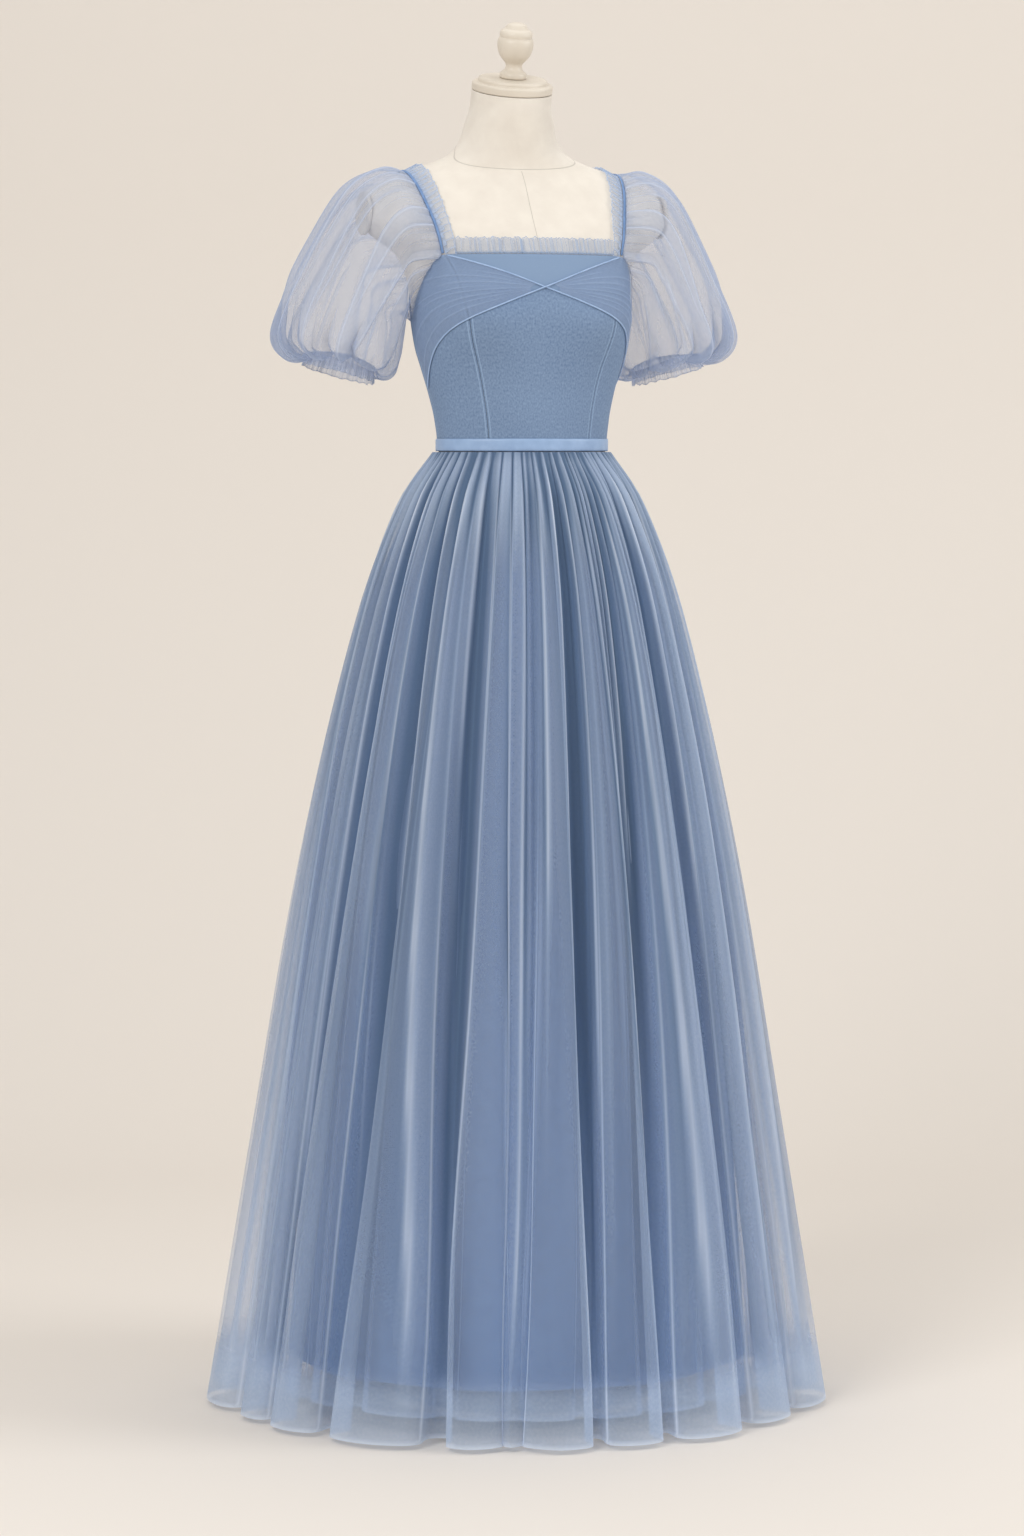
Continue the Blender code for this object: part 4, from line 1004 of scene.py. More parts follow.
    def stand(self) -> None:
        """Builds the round base and the pole."""
        coat, slot = Finish.STAND_COAT, Slot.STAND
        base = Surface("stand_base_coat", turned(np.array(self.base_profile), 160), True, True)
        base.build(coat, slot, ["stand_base"])
        foot = self.base_profile[-1][1] + 0.0010
        profile = np.array([(self.pole_radius, foot), (self.pole_radius, self.underside - self.seam_gap)])
        Surface("pole_coat", turned(profile, 64), True, True).build(coat, slot, ["pole"])

    def build(self) -> None:
        """Builds every piece of the form."""
        self.torso()
        self.head()
        self.arm_plates()
        self.stand()


@dataclass(frozen=True)
class SeamLine:
    """Angle of a bodice seam at the waist, the bust and the top edge."""

    waist: float
    bust: float
    top: float


@dataclass(frozen=True)
class EdgePoint:
    """A point of a drape's lower edge."""

    angle: float
    height: float


@dataclass
class Bodice:
    """Seven fitted panels of crepe under mesh, and the satin ribbon at the waist."""

    body: BodyShape
    waist: float = 1.1425
    neckline: float = 1.374
    back_neckline: float = 1.400
    underarm: float = 1.298
    underarm_angle: float = 96.0
    front_curve: float = 1.35
    back_curve: float = 1.1
    cloth_gap: float = 0.0012
    wall: float = 0.0012
    shown_wall: float = 0.0009
    ribbon_wall: float = 0.0005
    ribbon_cut: tuple[float, float] = (0.62, 0.0155)
    ribbon_area: float = 0.0094
    seam_trim: float = 0.0002
    zip_half_width: float = 0.0016
    seam_dip: float = 0.00035
    front_princess: SeamLine = SeamLine(37.0, 39.0, 47.5)
    side_seam: SeamLine = SeamLine(92.0, 93.0, 96.0)
    back_princess: SeamLine = SeamLine(143.0, 141.0, 145.0)
    centre_back: SeamLine = SeamLine(180.0, 180.0, 180.0)

    def seam_angle(self, seam: SeamLine, height: Array) -> Array:
        """A seam's angle at each height, on a smooth line through its three angles."""
        heights = (self.waist, self.body.bust_height, self.neckline)
        return np.interp(height, heights, (seam.waist, seam.bust, seam.top))

    def top_edge(self, angle: Array) -> Array:
        """Height of the top edge: level in front and behind, hollowed at each armhole.

        Args:
            angle: Degrees round the body from the front, towards the wearer's left.

        Returns:
            The height at each angle.
        """
        angle = np.abs(angle)
        span = self.underarm_angle - self.front_princess.top
        front = np.clip((self.underarm_angle - angle) / span, 0, 1)
        back_span = self.back_princess.top - self.underarm_angle
        back = np.clip((angle - self.underarm_angle) / back_span, 0, 1)
        rise_front = (self.neckline - self.underarm) * (1 - (1 - front) ** self.front_curve)
        rise_back = (self.back_neckline - self.underarm) * back**self.back_curve
        return self.underarm + np.where(angle < self.underarm_angle, rise_front, rise_back)

    def edge_at(self, start: SeamLine, end: SeamLine, share: Array) -> tuple[Array, Array]:
        """Angle and height of a panel's top edge, at shares of the way from seam to seam.

        Args:
            start: The panel's first seam.
            end: Its last seam.
            share: Shares of the way between.

        Returns:
            The angle and the height at each share.
        """
        top = self.top_edge(start.top + (end.top - start.top) * share)
        first, last = self.seam_angle(start, top), self.seam_angle(end, top)
        return first + (last - first) * share, top

    def panel(self, start: SeamLine, end: SeamLine, trims: tuple[float, float]) -> tuple[Array, Array]:
        """Grid of a panel, its edges rolled in at the seams, and its distance from them.

        Args:
            start: Seam on the wearer's right of the panel.
            end: Seam on its left.
            trims: Width that each edge is cut back by.

        Returns:
            The grid, and each point's distance from the nearer seam.
        """
        rim = np.array([0.0, 0.006, 0.014, 0.026, 0.042])
        share = np.concatenate([rim, np.linspace(0.06, 0.94, 56), 1 - rim[::-1]])[None, :]
        up = np.concatenate([np.linspace(0.0, 0.985, 110), [0.992, 0.997, 1.0]])[:, None]
        top = self.top_edge(start.top + (end.top - start.top) * share)
        height = self.waist + up * (top - self.waist)
        half_width, _, half_depth = self.body.section(height)
        per_metre = 180.0 / (np.pi * (half_width + half_depth) / 2)
        first = self.seam_angle(start, height) + trims[0] * per_metre
        last = self.seam_angle(end, height) - trims[1] * per_metre
        width = (last - first) / per_metre
        away = np.minimum(share, 1 - share) * width
        rolled = self.seam_dip * (1 - soft_step(away, 0.0, 0.0032))
        ripple = 0.00018 * np.sin(height * 900.0) * np.exp(-away / 0.006)
        gap = self.cloth_gap + self.wall - rolled + ripple
        edge = 0.0005 * (1 - soft_step((1 - up) * (top - self.waist), 0.0, 0.0022))
        return self.body.off(first + (last - first) * share, height, gap - edge), away

    def build(self) -> None:
        """Builds the panels and the ribbon."""
        trims = (self.seam_trim, self.seam_trim)
        zip_trims = (self.seam_trim, self.zip_half_width)
        left = self.front_princess
        right = SeamLine(-left.waist, -left.bust, -left.top)
        crepe, slot = Finish.BODICE_CREPE, Slot.BODICE
        plan = (
            ("front_centre", right, left, trims, (0.225, 0.235)),
            ("front_side", left, self.side_seam, trims, (0.135, 0.235)),
            ("back_side", self.side_seam, self.back_princess, trims, (0.115, 0.262)),
            ("back", self.back_princess, self.centre_back, zip_trims, (0.110, 0.262)),
        )
        for name, start, end, trim, cut in plan:
            grid, away = self.panel(start, end, trim)
            for side in ("",) if name == "front_centre" else ("_left", "_right"):
                node = "bodice_" + name + side
                panel = Surface(node + "_cloth", grid, marks={"seam_away": away}).on_side(side)
                piece = panel.build(crepe, slot, [node])
                thicken(piece, self.shown_wall)
                panel.area() * 1.01
        self.ribbon()

    def ribbon(self) -> None:
        """Builds the waist ribbon: a band that is full at its middle, with turned edges."""
        share = np.linspace(0.0, 1.0, 13)[:, None]
        angle = np.linspace(-179.8, 179.8, 541)[None, :]
        full = 1 - np.abs(2 * share - 1) ** 6
        height = self.waist - 0.0002 + share * self.ribbon_cut[1]
        sway = 0.00025 * slow_noise(np.broadcast_to(angle / 22.0, (1, 541)), 3)
        gap = self.cloth_gap + self.wall + self.shown_wall + 0.0010 * full + sway * full
        band = Surface("waist_ribbon_satin", self.body.off(angle, height, gap))
        piece = band.build(Finish.RIBBON_SATIN, Slot.RIBBON, ["waist_ribbon"])
        thicken(piece, self.ribbon_wall)


def tube(path: Array, outward: Array, half_width: float, half_height: float, sides: int) -> Array:
    """Closed oval profile carried along a path, drawn in at both ends.

    Args:
        path: Points of the tube's middle.
        outward: Direction away from the body at each point.
        half_width: Half size of the profile across the path, along the body.
        half_height: Half size away from the body.
        sides: Points round the profile.

    Returns:
        Grid whose rows run along the path and whose columns run round it.
    """
    along = unit(np.gradient(path, axis=0))
    outward = unit(outward - along * (outward * along).sum(axis=-1, keepdims=True))
    sideways = np.cross(along, outward)
    turn = np.arange(sides) * 2 * np.pi / sides
    end = np.minimum(np.arange(len(path)), np.arange(len(path))[::-1])
    slim = np.sqrt(np.clip((end + 0.35) / 3.0, 0.0, 1.0))[:, None, None]
    across = np.cos(turn)[None, :, None] * half_width * sideways[:, None, :]
    away = np.sin(turn)[None, :, None] * half_height * outward[:, None, :]
    return path[:, None, :] + slim * (across - away)


@dataclass
class BustDrapes:
    """Two gathered tulle drapes that cross at the centre front, and their bound edges."""

    body: BodyShape
    bodice: Bodice
    cross_height: float = 1.335
    lower_edge: tuple[EdgePoint, ...] = (
        EdgePoint(0.0, 1.335), EdgePoint(21.0, 1.316), EdgePoint(43.5, 1.2935), EdgePoint(64.0, 1.266),
        EdgePoint(92.0, 1.214),
    )
    start: float = 0.085
    side_trim: float = 2.0
    lower_trim: float = 0.0010
    upper_trim: float = 0.0008
    edge_trim: float = 0.0016
    armhole_trim: float = 0.0105
    side_share: float = 0.52
    gap: float = 0.0037
    binding_half_width: float = 0.0009
    binding_half_height: float = 0.0008
    crossing_half_length: float = 0.014
    crossing_lift: float = 0.0017
    cut: tuple[float, float] = (0.190, 0.150)

    def upper_height(self, angle: Array) -> Array:
        """Height of the straight edge from the crossing to the neckline's corner.

        Args:
            angle: Degrees round the body from the front, towards the wearer's left.

        Returns:
            The height at each angle.
        """
        corner = self.bodice.front_princess.top
        share = np.sin(np.radians(angle)) / math.sin(math.radians(corner))
        return self.cross_height + (self.bodice.neckline - self.cross_height) * share

    def lower_height(self, angle: Array) -> Array:
        """Height of the curved lower edge."""
        places = [point.angle for point in self.lower_edge]
        return smooth_curve(places, [point.height for point in self.lower_edge], angle)

    def drape(self) -> tuple[Array, Array]:
        """Patch between the lower, upper and outer edges, with folds that fan from the crossing.

        The patch blends its four edges. Its folds are sharp-topped ridges, uneven in height and
        spacing, which fade towards the crossing.

        Returns:
            The grid, and a mark of how far the net is gathered.
        """
        along = np.linspace(self.start, 1.0, 110)[None, :]
        across = np.linspace(0.0, 1.0, 150)[:, None]
        corner = self.bodice.front_princess.top
        side_angle = self.lower_edge[-1].angle - self.side_trim
        low_angle, high_angle = along * side_angle, along * corner
        low = self.lower_height(low_angle) + self.lower_trim
        high = self.upper_height(high_angle) - self.upper_trim
        side = np.clip(across / self.side_share, 0.0, 1.0)
        over = np.clip((across - self.side_share) / (1.0 - self.side_share), 0.0, 1.0)
        outer_angle = side_angle + over * (corner - side_angle)
        outer_low = self.lower_edge[-1].height + self.lower_trim
        outer_trim = self.armhole_trim + over * (self.edge_trim - self.armhole_trim)
        side_top = self.bodice.top_edge(side_angle) - self.armhole_trim
        up_side = outer_low + side * (side_top - outer_low)
        outer = np.where(over > 0, self.bodice.top_edge(outer_angle) - outer_trim, up_side)
        straight_angle = side_angle + across * (corner - side_angle)
        corner_top = self.bodice.top_edge(np.array(corner)) - self.edge_trim
        straight = outer_low + across * (corner_top - outer_low)
        angle = (1 - across) * low_angle + across * high_angle + along * (outer_angle - straight_angle)
        height = (1 - across) * low + across * high + along * (outer - straight)
        ridge, gathered = np.zeros_like(angle), np.zeros_like(angle)
        folds = (
            (0.13, 0.030, 0.0008, 0.25, 1.0), (0.27, 0.022, 0.0006, 0.10, 0.62),
            (0.37, 0.034, 0.0011, 0.18, 0.95), (0.50, 0.026, 0.0009, 0.08, 0.80),
            (0.59, 0.020, 0.0006, 0.30, 1.0), (0.69, 0.032, 0.0010, 0.05, 0.72),
            (0.80, 0.022, 0.0007, 0.22, 0.98), (0.90, 0.018, 0.0005, 0.10, 0.55),
        )
        for place, width, depth, first, last in folds:
            bowed = place + 0.10 * np.sin(np.pi * along) * (1 - place) - 0.05 * along
            away = np.abs(across - bowed) / width
            fade = soft_step(along, first - 0.1, first + 0.2)
            fade = fade * (1 - soft_step(along, last - 0.15, last + 0.1))
            ridge = ridge + 0.7 * depth * np.exp(-(away**1.5)) * fade
            # Each fold's crest takes a closer, lighter net: partly the denser gathers, partly a painted
            # highlight
            gathered = gathered + 0.45 * np.exp(-((away / 0.45) ** 2)) * fade
        hem = np.minimum(across, 1 - across) * 0.10
        gathered = gathered + 0.3 * (1 - soft_step(hem, 0.0, 0.0025))
        bunched = 0.25 * (1 - soft_step(along, 0.08, 0.22))
        grid = self.body.off(angle, height, self.gap + ridge)
        return grid, np.clip(gathered + bunched, 0.0, 1.0)

    def binding(self, lift: float) -> Array:
        """Rolled edge from the wearer's left side seam through the crossing to the other corner.

        Args:
            lift: Rise over the other binding where they cross.

        Returns:
            The tube's grid.
        """
        first = self.lower_edge[-1].angle - self.side_trim
        last = 1.2 - self.bodice.front_princess.top
        angle = np.linspace(first, last, 200)
        below = self.lower_height(np.abs(angle))
        above = self.upper_height(np.abs(angle)) - self.upper_trim / 2
        height = np.where(angle > 0, below, above)
        base = self.body.off(angle, height, 0.0)
        near = np.clip(np.abs(base[:, 0]) / self.crossing_half_length, 0.0, 1.0)
        raised = self.gap + 0.0003 + lift * (1 - near**2) ** 2
        path = self.body.off(angle, height, raised)
        return tube(path, path - base, self.binding_half_width, self.binding_half_height, 14)

    def build(self) -> None:
        """Builds both drapes and both bindings."""
        grid, gathered = self.drape()
        for side in SIDES:
            sheet = Surface(f"drape_{side}_tulle", grid, marks={"gathered": gathered}).on_side(side)
            piece = sheet.build(Finish.DRAPE_TULLE, Slot.DRAPE, [f"drape_{side}"])
            sheet.area() * EASE
        for side, lift in zip(SIDES, (0.0, self.crossing_lift)):
            shape = self.binding(lift)
            edge = Surface(f"drape_binding_{side}_cord", shape, closed=True, capped=True).on_side(side)
            edge.build(Finish.BINDING, Slot.PIPING, [f"drape_binding_{side}"])


@dataclass
class NeckTrim:
    """Neckline ruffle, corded straps and strap ruffles."""

    body: BodyShape
    neckline: float = 1.374
    cloth_gap: float = 0.0012
    ruffle_width: float = 0.0185
    strap_ruffle_width: float = 0.0165
    ruffle_end: float = 0.0975
    ruffle_waves: int = 28
    wave_height: float = 0.0010
    piping_inner: StrapLine = StrapLine(0.1088, 0.1320, 0.1095)
    piping_outer: StrapLine = StrapLine(0.1118, 0.1350, 0.1125)
    ruffle_inner: StrapLine = StrapLine(0.0960, 0.1120, 0.0960)
    ruffle_outer: StrapLine = StrapLine(0.1084, 0.1316, 0.1091)
    strap_lift: float = 0.0011
    strap_waves: int = 34
    cord_radius: float = 0.0008

    def neck_ruffle(self) -> None:
        """Builds the ruffle over the neckline: uneven narrow pleats with a scalloped free edge."""
        columns = self.ruffle_waves * 22
        x = np.linspace(-self.ruffle_end, self.ruffle_end, columns)[None, :]
        share = np.concatenate([np.linspace(0.0, 0.94, 15), [0.97, 1.0]])[:, None]
        step = (x / self.ruffle_end + 1) / 2 * self.ruffle_waves
        phase = step + 0.32 * slow_noise(step * 0.8, 11)
        tall = 1 + 0.09 * slow_noise(step * 0.9, 12)
        ridge = np.cos(TURN * phase)
        height = self.neckline + 0.0003 + share * self.ruffle_width * (tall - 0.035 * ridge * share)
        half_width = self.body.section(height)[0]
        lean = 0.0011 * share * slow_noise(step * 0.7, 13)
        angle = np.degrees(np.arcsin(np.clip((x + lean) / half_width, -1, 1)))
        free = 0.35 + 0.65 * share
        small = 0.00035 * np.sin(TURN * (phase * 2.3 + 0.2))
        gap = self.cloth_gap + self.wave_height * (1 + share) + (self.wave_height * ridge + small) * free
        strength = 0.45 + 0.4 * slow_noise(step * 1.1, 14)
        line = np.clip((ridge - 0.90) / 0.10, 0, 1) ** 1.5 * np.clip(strength, 0.1, 1.0)
        soft = 0.25 * np.clip(np.cos(TURN * (phase - 0.12)), 0, 1) ** 2
        band = 0.55 * (1 - soft_step(share, 0.03, 0.22)) + 0.8 * soft_step(share, 0.955, 0.99)
        # Painted shade, with the closer net of the seam and the pleats: darker at the sewn base, along the
        # pleat crests and at the free edge
        marks = {
            "gathered": np.clip(line * (1.0 - 0.35 * share) + soft + band, 0, 1),
            "painted_shade": 0.55 * (1 - soft_step(share, 0.02, 0.16))
            + 0.35 * line
            + 0.4 * soft_step(share, 0.96, 0.99),
        }
        sheet = Surface("neckline_ruffle_tulle", self.body.off(angle, height, gap), marks=marks)
        piece = sheet.build(Finish.RUFFLE_TULLE, Slot.SLEEVE, ["neckline_ruffle"])

    def strap_frame(self, line: StrapLine, count: int) -> tuple[Array, Array, Array]:
        """Path of a strap's line over the shoulder, the direction off the body and the angle.

        Args:
            line: The strap's line.
            count: How many points to make of it.

        Returns:
            The points, the directions and the angles.
        """
        angle = np.linspace(self.body.strap_front_angle, self.body.strap_back_angle, count)
        path = self.body.over_shoulder(self.body.strap_x(line, angle), angle)
        inner = StrapLine(line.front - 0.004, line.top - 0.004, line.back - 0.004)
        beside = self.body.over_shoulder(self.body.strap_x(inner, angle), angle)
        outward = np.cross(path - beside, np.gradient(path, axis=0))
        return path, unit(outward), angle

    def strap(self) -> Array:
        """Two round cords side by side, as one closed profile carried over the shoulder.

        Returns:
            The grid.
        """
        middle = self.piping_inner.towards(self.piping_outer, 0.5)
        path, outward, _ = self.strap_frame(middle, 200)
        sideways = np.cross(unit(np.gradient(path, axis=0)), outward)
        turn = np.arange(28) * 2 * np.pi / 28
        across = 2 * self.cord_radius * np.cos(turn)
        high = self.cord_radius * np.sin(turn) * (0.62 + 0.38 * np.abs(np.cos(turn)) ** 0.5 * 1.5)
        pinch = 1 - 0.06 * np.cos(np.arange(200) * 2 * np.pi / 3.2)[:, None, None]
        lifted = path + outward * (self.strap_lift + self.cord_radius)
        across_part = across[None, :, None] * sideways[:, None, :]
        return lifted[:, None, :] + across_part - pinch * high[None, :, None] * outward[:, None, :]

    def strap_ruffle(self) -> tuple[Array, Array]:
        """Gathered strip on the neck side of a strap, its pleats slanting down to the cord.

        Returns:
            The grid, and a mark of how far the net is gathered.
        """
        count = self.strap_waves * 16
        share = np.linspace(0.0, 1.0, 9)[None, :]
        lines = [self.ruffle_inner.towards(self.ruffle_outer, at) for at in share[0]]
        rows = [self.strap_frame(line, count) for line in lines]
        paths = np.stack([row[0] for row in rows], axis=1)
        outward = np.stack([row[1] for row in rows], axis=1)
        step = np.linspace(0.0, self.strap_waves, count)[:, None]
        phase = step + 0.28 * slow_noise(step * 0.8, 21) + 0.9 * share
        ridge = np.cos(TURN * phase)
        free = 1 - share
        curl = 0.0022 * free + 0.0011 * free**2 * slow_noise(step * 0.35, 22)
        lift = self.strap_lift + curl + 0.0009 * ridge * (0.25 + 0.75 * free)
        sideways = np.cross(unit(np.gradient(paths, axis=0)), outward)
        uneven = 0.0010 * free**2 * slow_noise(step * 0.6, 23)
        grid = paths + outward * lift[..., None] + sideways * uneven[..., None]
        line = np.clip((ridge - 0.84) / 0.16, 0, 1) ** 1.5
        soft = 0.3 * np.clip(np.cos(TURN * (phase - 0.14)), 0, 1) ** 2
        band = 0.7 * soft_step(share, 0.62, 0.98) + 0.8 * (1 - soft_step(share, 0.0, 0.06))
        return grid, np.clip(0.7 * line + soft + band, 0, 1)

    def build(self) -> None:
        """Builds the neckline ruffle and both straps with their ruffles."""
        self.neck_ruffle()
        strap = self.strap()
        grid, gathered = self.strap_ruffle()
        marks = {"gathered": gathered}
        for side in SIDES:
            cord = Surface(f"strap_{side}_piping", strap, closed=True, capped=True).on_side(side)
            cord.build(Finish.PIPING, Slot.PIPING, [f"strap_{side}"])
            sheet = Surface(f"strap_ruffle_{side}_tulle", grid, marks=marks).on_side(side)
            piece = sheet.build(Finish.RUFFLE_TULLE, Slot.SLEEVE, [f"strap_ruffle_{side}"])


@dataclass(frozen=True)
class SleeveRing:
    """A ring of the puff sleeve: its outer and inner ends, its middle and half size in depth."""

    outer_x: float
    outer_z: float
    inner_x: float
    inner_z: float
    centre_y: float
    half_depth: float
    fold: float
    arch: float = 0.0

    def middle(self) -> Array:
        """Its centre."""
        return np.array([self.outer_x + self.inner_x, 2 * self.centre_y, self.outer_z + self.inner_z]) / 2

    def reach(self) -> Array:
        """The way from its centre to its outer end."""
        return np.array([self.outer_x - self.inner_x, 0.0, self.outer_z - self.inner_z]) / 2


@dataclass(frozen=True)
class Pleat:
    """A long pleat of a sleeve, laid over to one side.

    Its place and slant are shares of the way round, its ends shares of the way up from the cuff,
    and its width a share of the way round. It lies towards the front where lies is 1.
    """

    place: float
    slant: float
    low: float
    high: float
    width: float
    height: float
    cover: float
    lies: int


@dataclass
class PuffSleeves:
    """Sheer puff sleeves gathered into the armhole and the cuff, with frills below."""

    body: BodyShape
    bodice: Bodice
    trim: NeckTrim
    rings: tuple[SleeveRing, ...] = (
        SleeveRing(0.1640, 1.4770, 0.1395, 1.3060, 0.050, 0.0980, 0.0022),
        SleeveRing(0.2010, 1.4560, 0.1385, 1.2850, 0.053, 0.0970, 0.0028),
        SleeveRing(0.2370, 1.4000, 0.1385, 1.2670, 0.058, 0.0940, 0.0032),
        SleeveRing(0.2700, 1.3350, 0.1390, 1.2500, 0.063, 0.0900, 0.0036),
        SleeveRing(0.2830, 1.2820, 0.1430, 1.2350, 0.066, 0.0830, 0.0036, 0.006),
        SleeveRing(0.2700, 1.2590, 0.1500, 1.2290, 0.067, 0.0710, 0.0032, 0.011),
        SleeveRing(0.2530, 1.2540, 0.1600, 1.2300, 0.067, 0.0540, 0.0016, 0.010),
        SleeveRing(0.2465, 1.2620, 0.1635, 1.2390, 0.067, 0.0435, 0.0006, 0.006),
    )
    pleats: tuple[Pleat, ...] = (
        Pleat(0.530, 0.020, 0.10, 0.98, 0.012, 0.0016, 0.30, 1),
        Pleat(0.565, -0.015, 0.00, 1.10, 0.018, 0.0024, 0.45, -1),
        Pleat(0.605, 0.030, 0.30, 1.10, 0.010, 0.0013, 0.25, 1),
        Pleat(0.640, -0.020, 0.05, 0.80, 0.020, 0.0022, 0.40, 1),
        Pleat(0.672, 0.015, 0.45, 1.10, 0.014, 0.0016, 0.35, -1),
        Pleat(0.708, 0.035, 0.00, 1.10, 0.022, 0.0028, 0.50, 1),
        Pleat(0.745, -0.030, 0.15, 0.75, 0.011, 0.0012, 0.22, -1),
        Pleat(0.781, 0.020, 0.35, 1.10, 0.018, 0.0020, 0.35, 1),
        Pleat(0.818, -0.020, 0.00, 1.10, 0.024, 0.0028, 0.45, -1),
        Pleat(0.856, 0.040, 0.20, 0.90, 0.014, 0.0015, 0.28, 1),
        Pleat(0.892, -0.010, 0.05, 1.10, 0.020, 0.0024, 0.40, 1),
        Pleat(0.932, 0.020, 0.40, 1.10, 0.012, 0.0014, 0.25, -1),
        Pleat(0.970, -0.030, 0.00, 1.00, 0.022, 0.0022, 0.38, 1),
    )
    columns: int = 720
    rows: int = 130
    lobes: int = 12
    head_gathers: int = 46
    cuff_gathers: int = 40
    frill_waves: int = 40
    frill_width: float = 0.0165
    frill_flare: float = 0.0035
    frill_inset: float = 0.0023
    cut: tuple[float, float] = (0.78, 0.34)
    cut_area: float = 0.185

    def armhole(self) -> Array:
        """The seam from the top of the shoulder down behind, under the arm and up in front.

        Returns:
            A point of the seam for each column of the sleeve.
        """
        halves = []
        ends = (self.body.strap_back_angle - 3.0, self.body.strap_front_angle + 3.0)
        seams = (self.bodice.back_princess, self.bodice.front_princess)
        for end, seam in zip(ends, seams):
            angle, top = self.bodice.edge_at(seam, self.bodice.side_seam, np.linspace(0.0, 1.0, 70))
            edge = self.body.off(angle, top - 0.0012, 0.0036)
            angle = np.linspace(0.0, end, 60)
            x = self.body.strap_x(self.trim.piping_outer, angle) - 0.0001
            over = self.body.over_shoulder(x, angle)
            outward = over - np.array([0.10, self.body.shoulder_y, self.body.shoulder_height])
            over += 0.0013 * unit(outward)
            line = np.concatenate([over, edge[3:]])
            at = np.linspace(0.0, 1.0, self.columns // 2 + 1)
            length = lengths_along(line)
            halves.append(np.stack([np.interp(at * length[-1], length, line[:, i]) for i in range(3)], -1))
        return np.concatenate([halves[0], halves[1][-2:0:-1]])

    def ring(self, row: SleeveRing, turn: Array) -> Array:
        """Oval ring through a row's two ends, with its depth from front to back.

        Args:
            row: The ring.
            turn: Angle round it of each point.

        Returns:
            The points.
        """
        depth = np.array([0.0, -row.half_depth, 0.0])
        arch = np.outer(np.sin(turn) ** 2, [0.0, 0.0, row.arch])
        return row.middle() + np.outer(np.cos(turn), row.reach()) + np.outer(np.sin(turn), depth) + arch

    def sleeve(self) -> tuple[Array, Array, Array]:
        """The puff, from the cuff up to the armhole, and its gathered and painted shade marks.

        The rings are joined by a smooth curve up each column. Folds move the points along the
        surface's normal: broad lobes that hang as bubbles at the cuff, narrow gathers that fade
        away from the head and the cuff, and long pleats of uneven length.

        Returns:
            The grid and its two marks.
        """
        turn = -np.arange(self.columns) * 2 * np.pi / self.columns
        rings = [self.armhole()] + [self.ring(row, turn) for row in self.rings]
        folds = np.array([0.0] + [row.fold for row in self.rings])[::-1]
        grid = smooth_rows(np.stack(rings[::-1]), self.rows)
        gaps = np.linalg.norm(np.diff(np.stack(rings[::-1]), axis=0), axis=-1).mean(axis=1)
        places = np.concatenate([[0.0], np.cumsum(gaps)]) / gaps.sum()
        up = np.linspace(0.0, 1.0, self.rows)[:, None]
        fold = np.interp(up[:, 0], places, folds)[:, None]
        around = np.arange(self.columns)[None, :] / self.columns
        outer = 1 - 0.85 * np.clip(-np.cos(turn) - 0.45, 0.0, 1.0)[None, :] / 0.55
        wander = 0.020 * (np.sin(4 * np.pi * around + 0.5) + 0.6 * np.sin(10 * np.pi * around + 2 * up))
        lobe_phase = self.lobes * (around + wander) + 0.19
        broad = np.cos(TURN * lobe_phase)
        bubble = 2 * np.abs(np.sin(np.pi * lobe_phase)) ** 0.8 - 1
        hanging = 1 - soft_step(up, 0.16, 0.42)
        lobes = broad * (1 - hanging) * 0.8 + 2.2 * bubble * hanging
        head, head_valley = self.gathers(around * self.head_gathers, 33)
        reach = 0.16 + 0.09 * slow_noise(around * self.head_gathers * 0.9, 34)
        head_fade = soft_step(up, 1 - np.maximum(reach, 0.06) * 1.7, 1.0)
        cuff, cuff_valley = self.gathers(around * self.cuff_gathers, 35)
        cuff_reach = 0.12 + 0.05 * slow_noise(around * self.cuff_gathers * 0.8, 36)
        cuff_fade = 1 - soft_step(up, 0.02, np.maximum(cuff_reach, 0.05) * 1.6)
        pleat, pleat_cover, edge = self.pleated(around, up)
        move = (fold * lobes * 1.1 + pleat) * outer + 0.0011 * head * head_fade * (0.4 + 0.6 * outer)
        move = move + 0.0011 * cuff * cuff_fade * soft_step(up, 0.0, 0.02)
        move = move * soft_step(up, -0.02, 0.03) * (1 - soft_step(up, 0.97, 1.0))
        shaped = grid + grid_normals(grid, True) * move[..., None]
        bunched = 0.30 * soft_step(up, 0.93, 1.0) + 0.12 * (1 - soft_step(up, 0.0, 0.07))
        seam = soft_step(up, 0.984, 0.994)
        narrow = head_valley * head_fade + 0.5 * cuff_valley * cuff_fade
        gathered = bunched + pleat_cover + 0.45 * edge + 0.1 * narrow
        # Painted shade in the creases between the bubbles that hang at the cuff, and below in the valleys
        # of the gathers at the head and the cuff
        crease = (1 - np.abs(np.sin(np.pi * lobe_phase)) ** 0.5) * hanging * soft_step(up, 0.02, 0.08)
        painted_shade = 0.22 * head_valley * head_fade + 0.12 * cuff_valley * cuff_fade + 0.36 * crease
        # The band at the armhole seam is closer and darker: the seam's own denser net, with painted shade
        return shaped, np.clip(gathered + seam, 0.0, 1.0), np.clip(painted_shade + 0.7 * seam, 0.0, 0.9)

    def gathers(self, step: Array, seed: int) -> tuple[Array, Array]:
        """Round-topped gathers with sharp valleys, and how near each place is to a valley.

        Args:
            step: Running count of the gathers.
            seed: Picks their unevenness.

        Returns:
            The height from -1 to 1 and the nearness from 0 to 1.
        """
        rounded = np.abs(np.sin(np.pi * (step + 0.33 * slow_noise(step * 0.7, seed))))
        return 2 * rounded**0.8 - 1, 1 - rounded**0.5

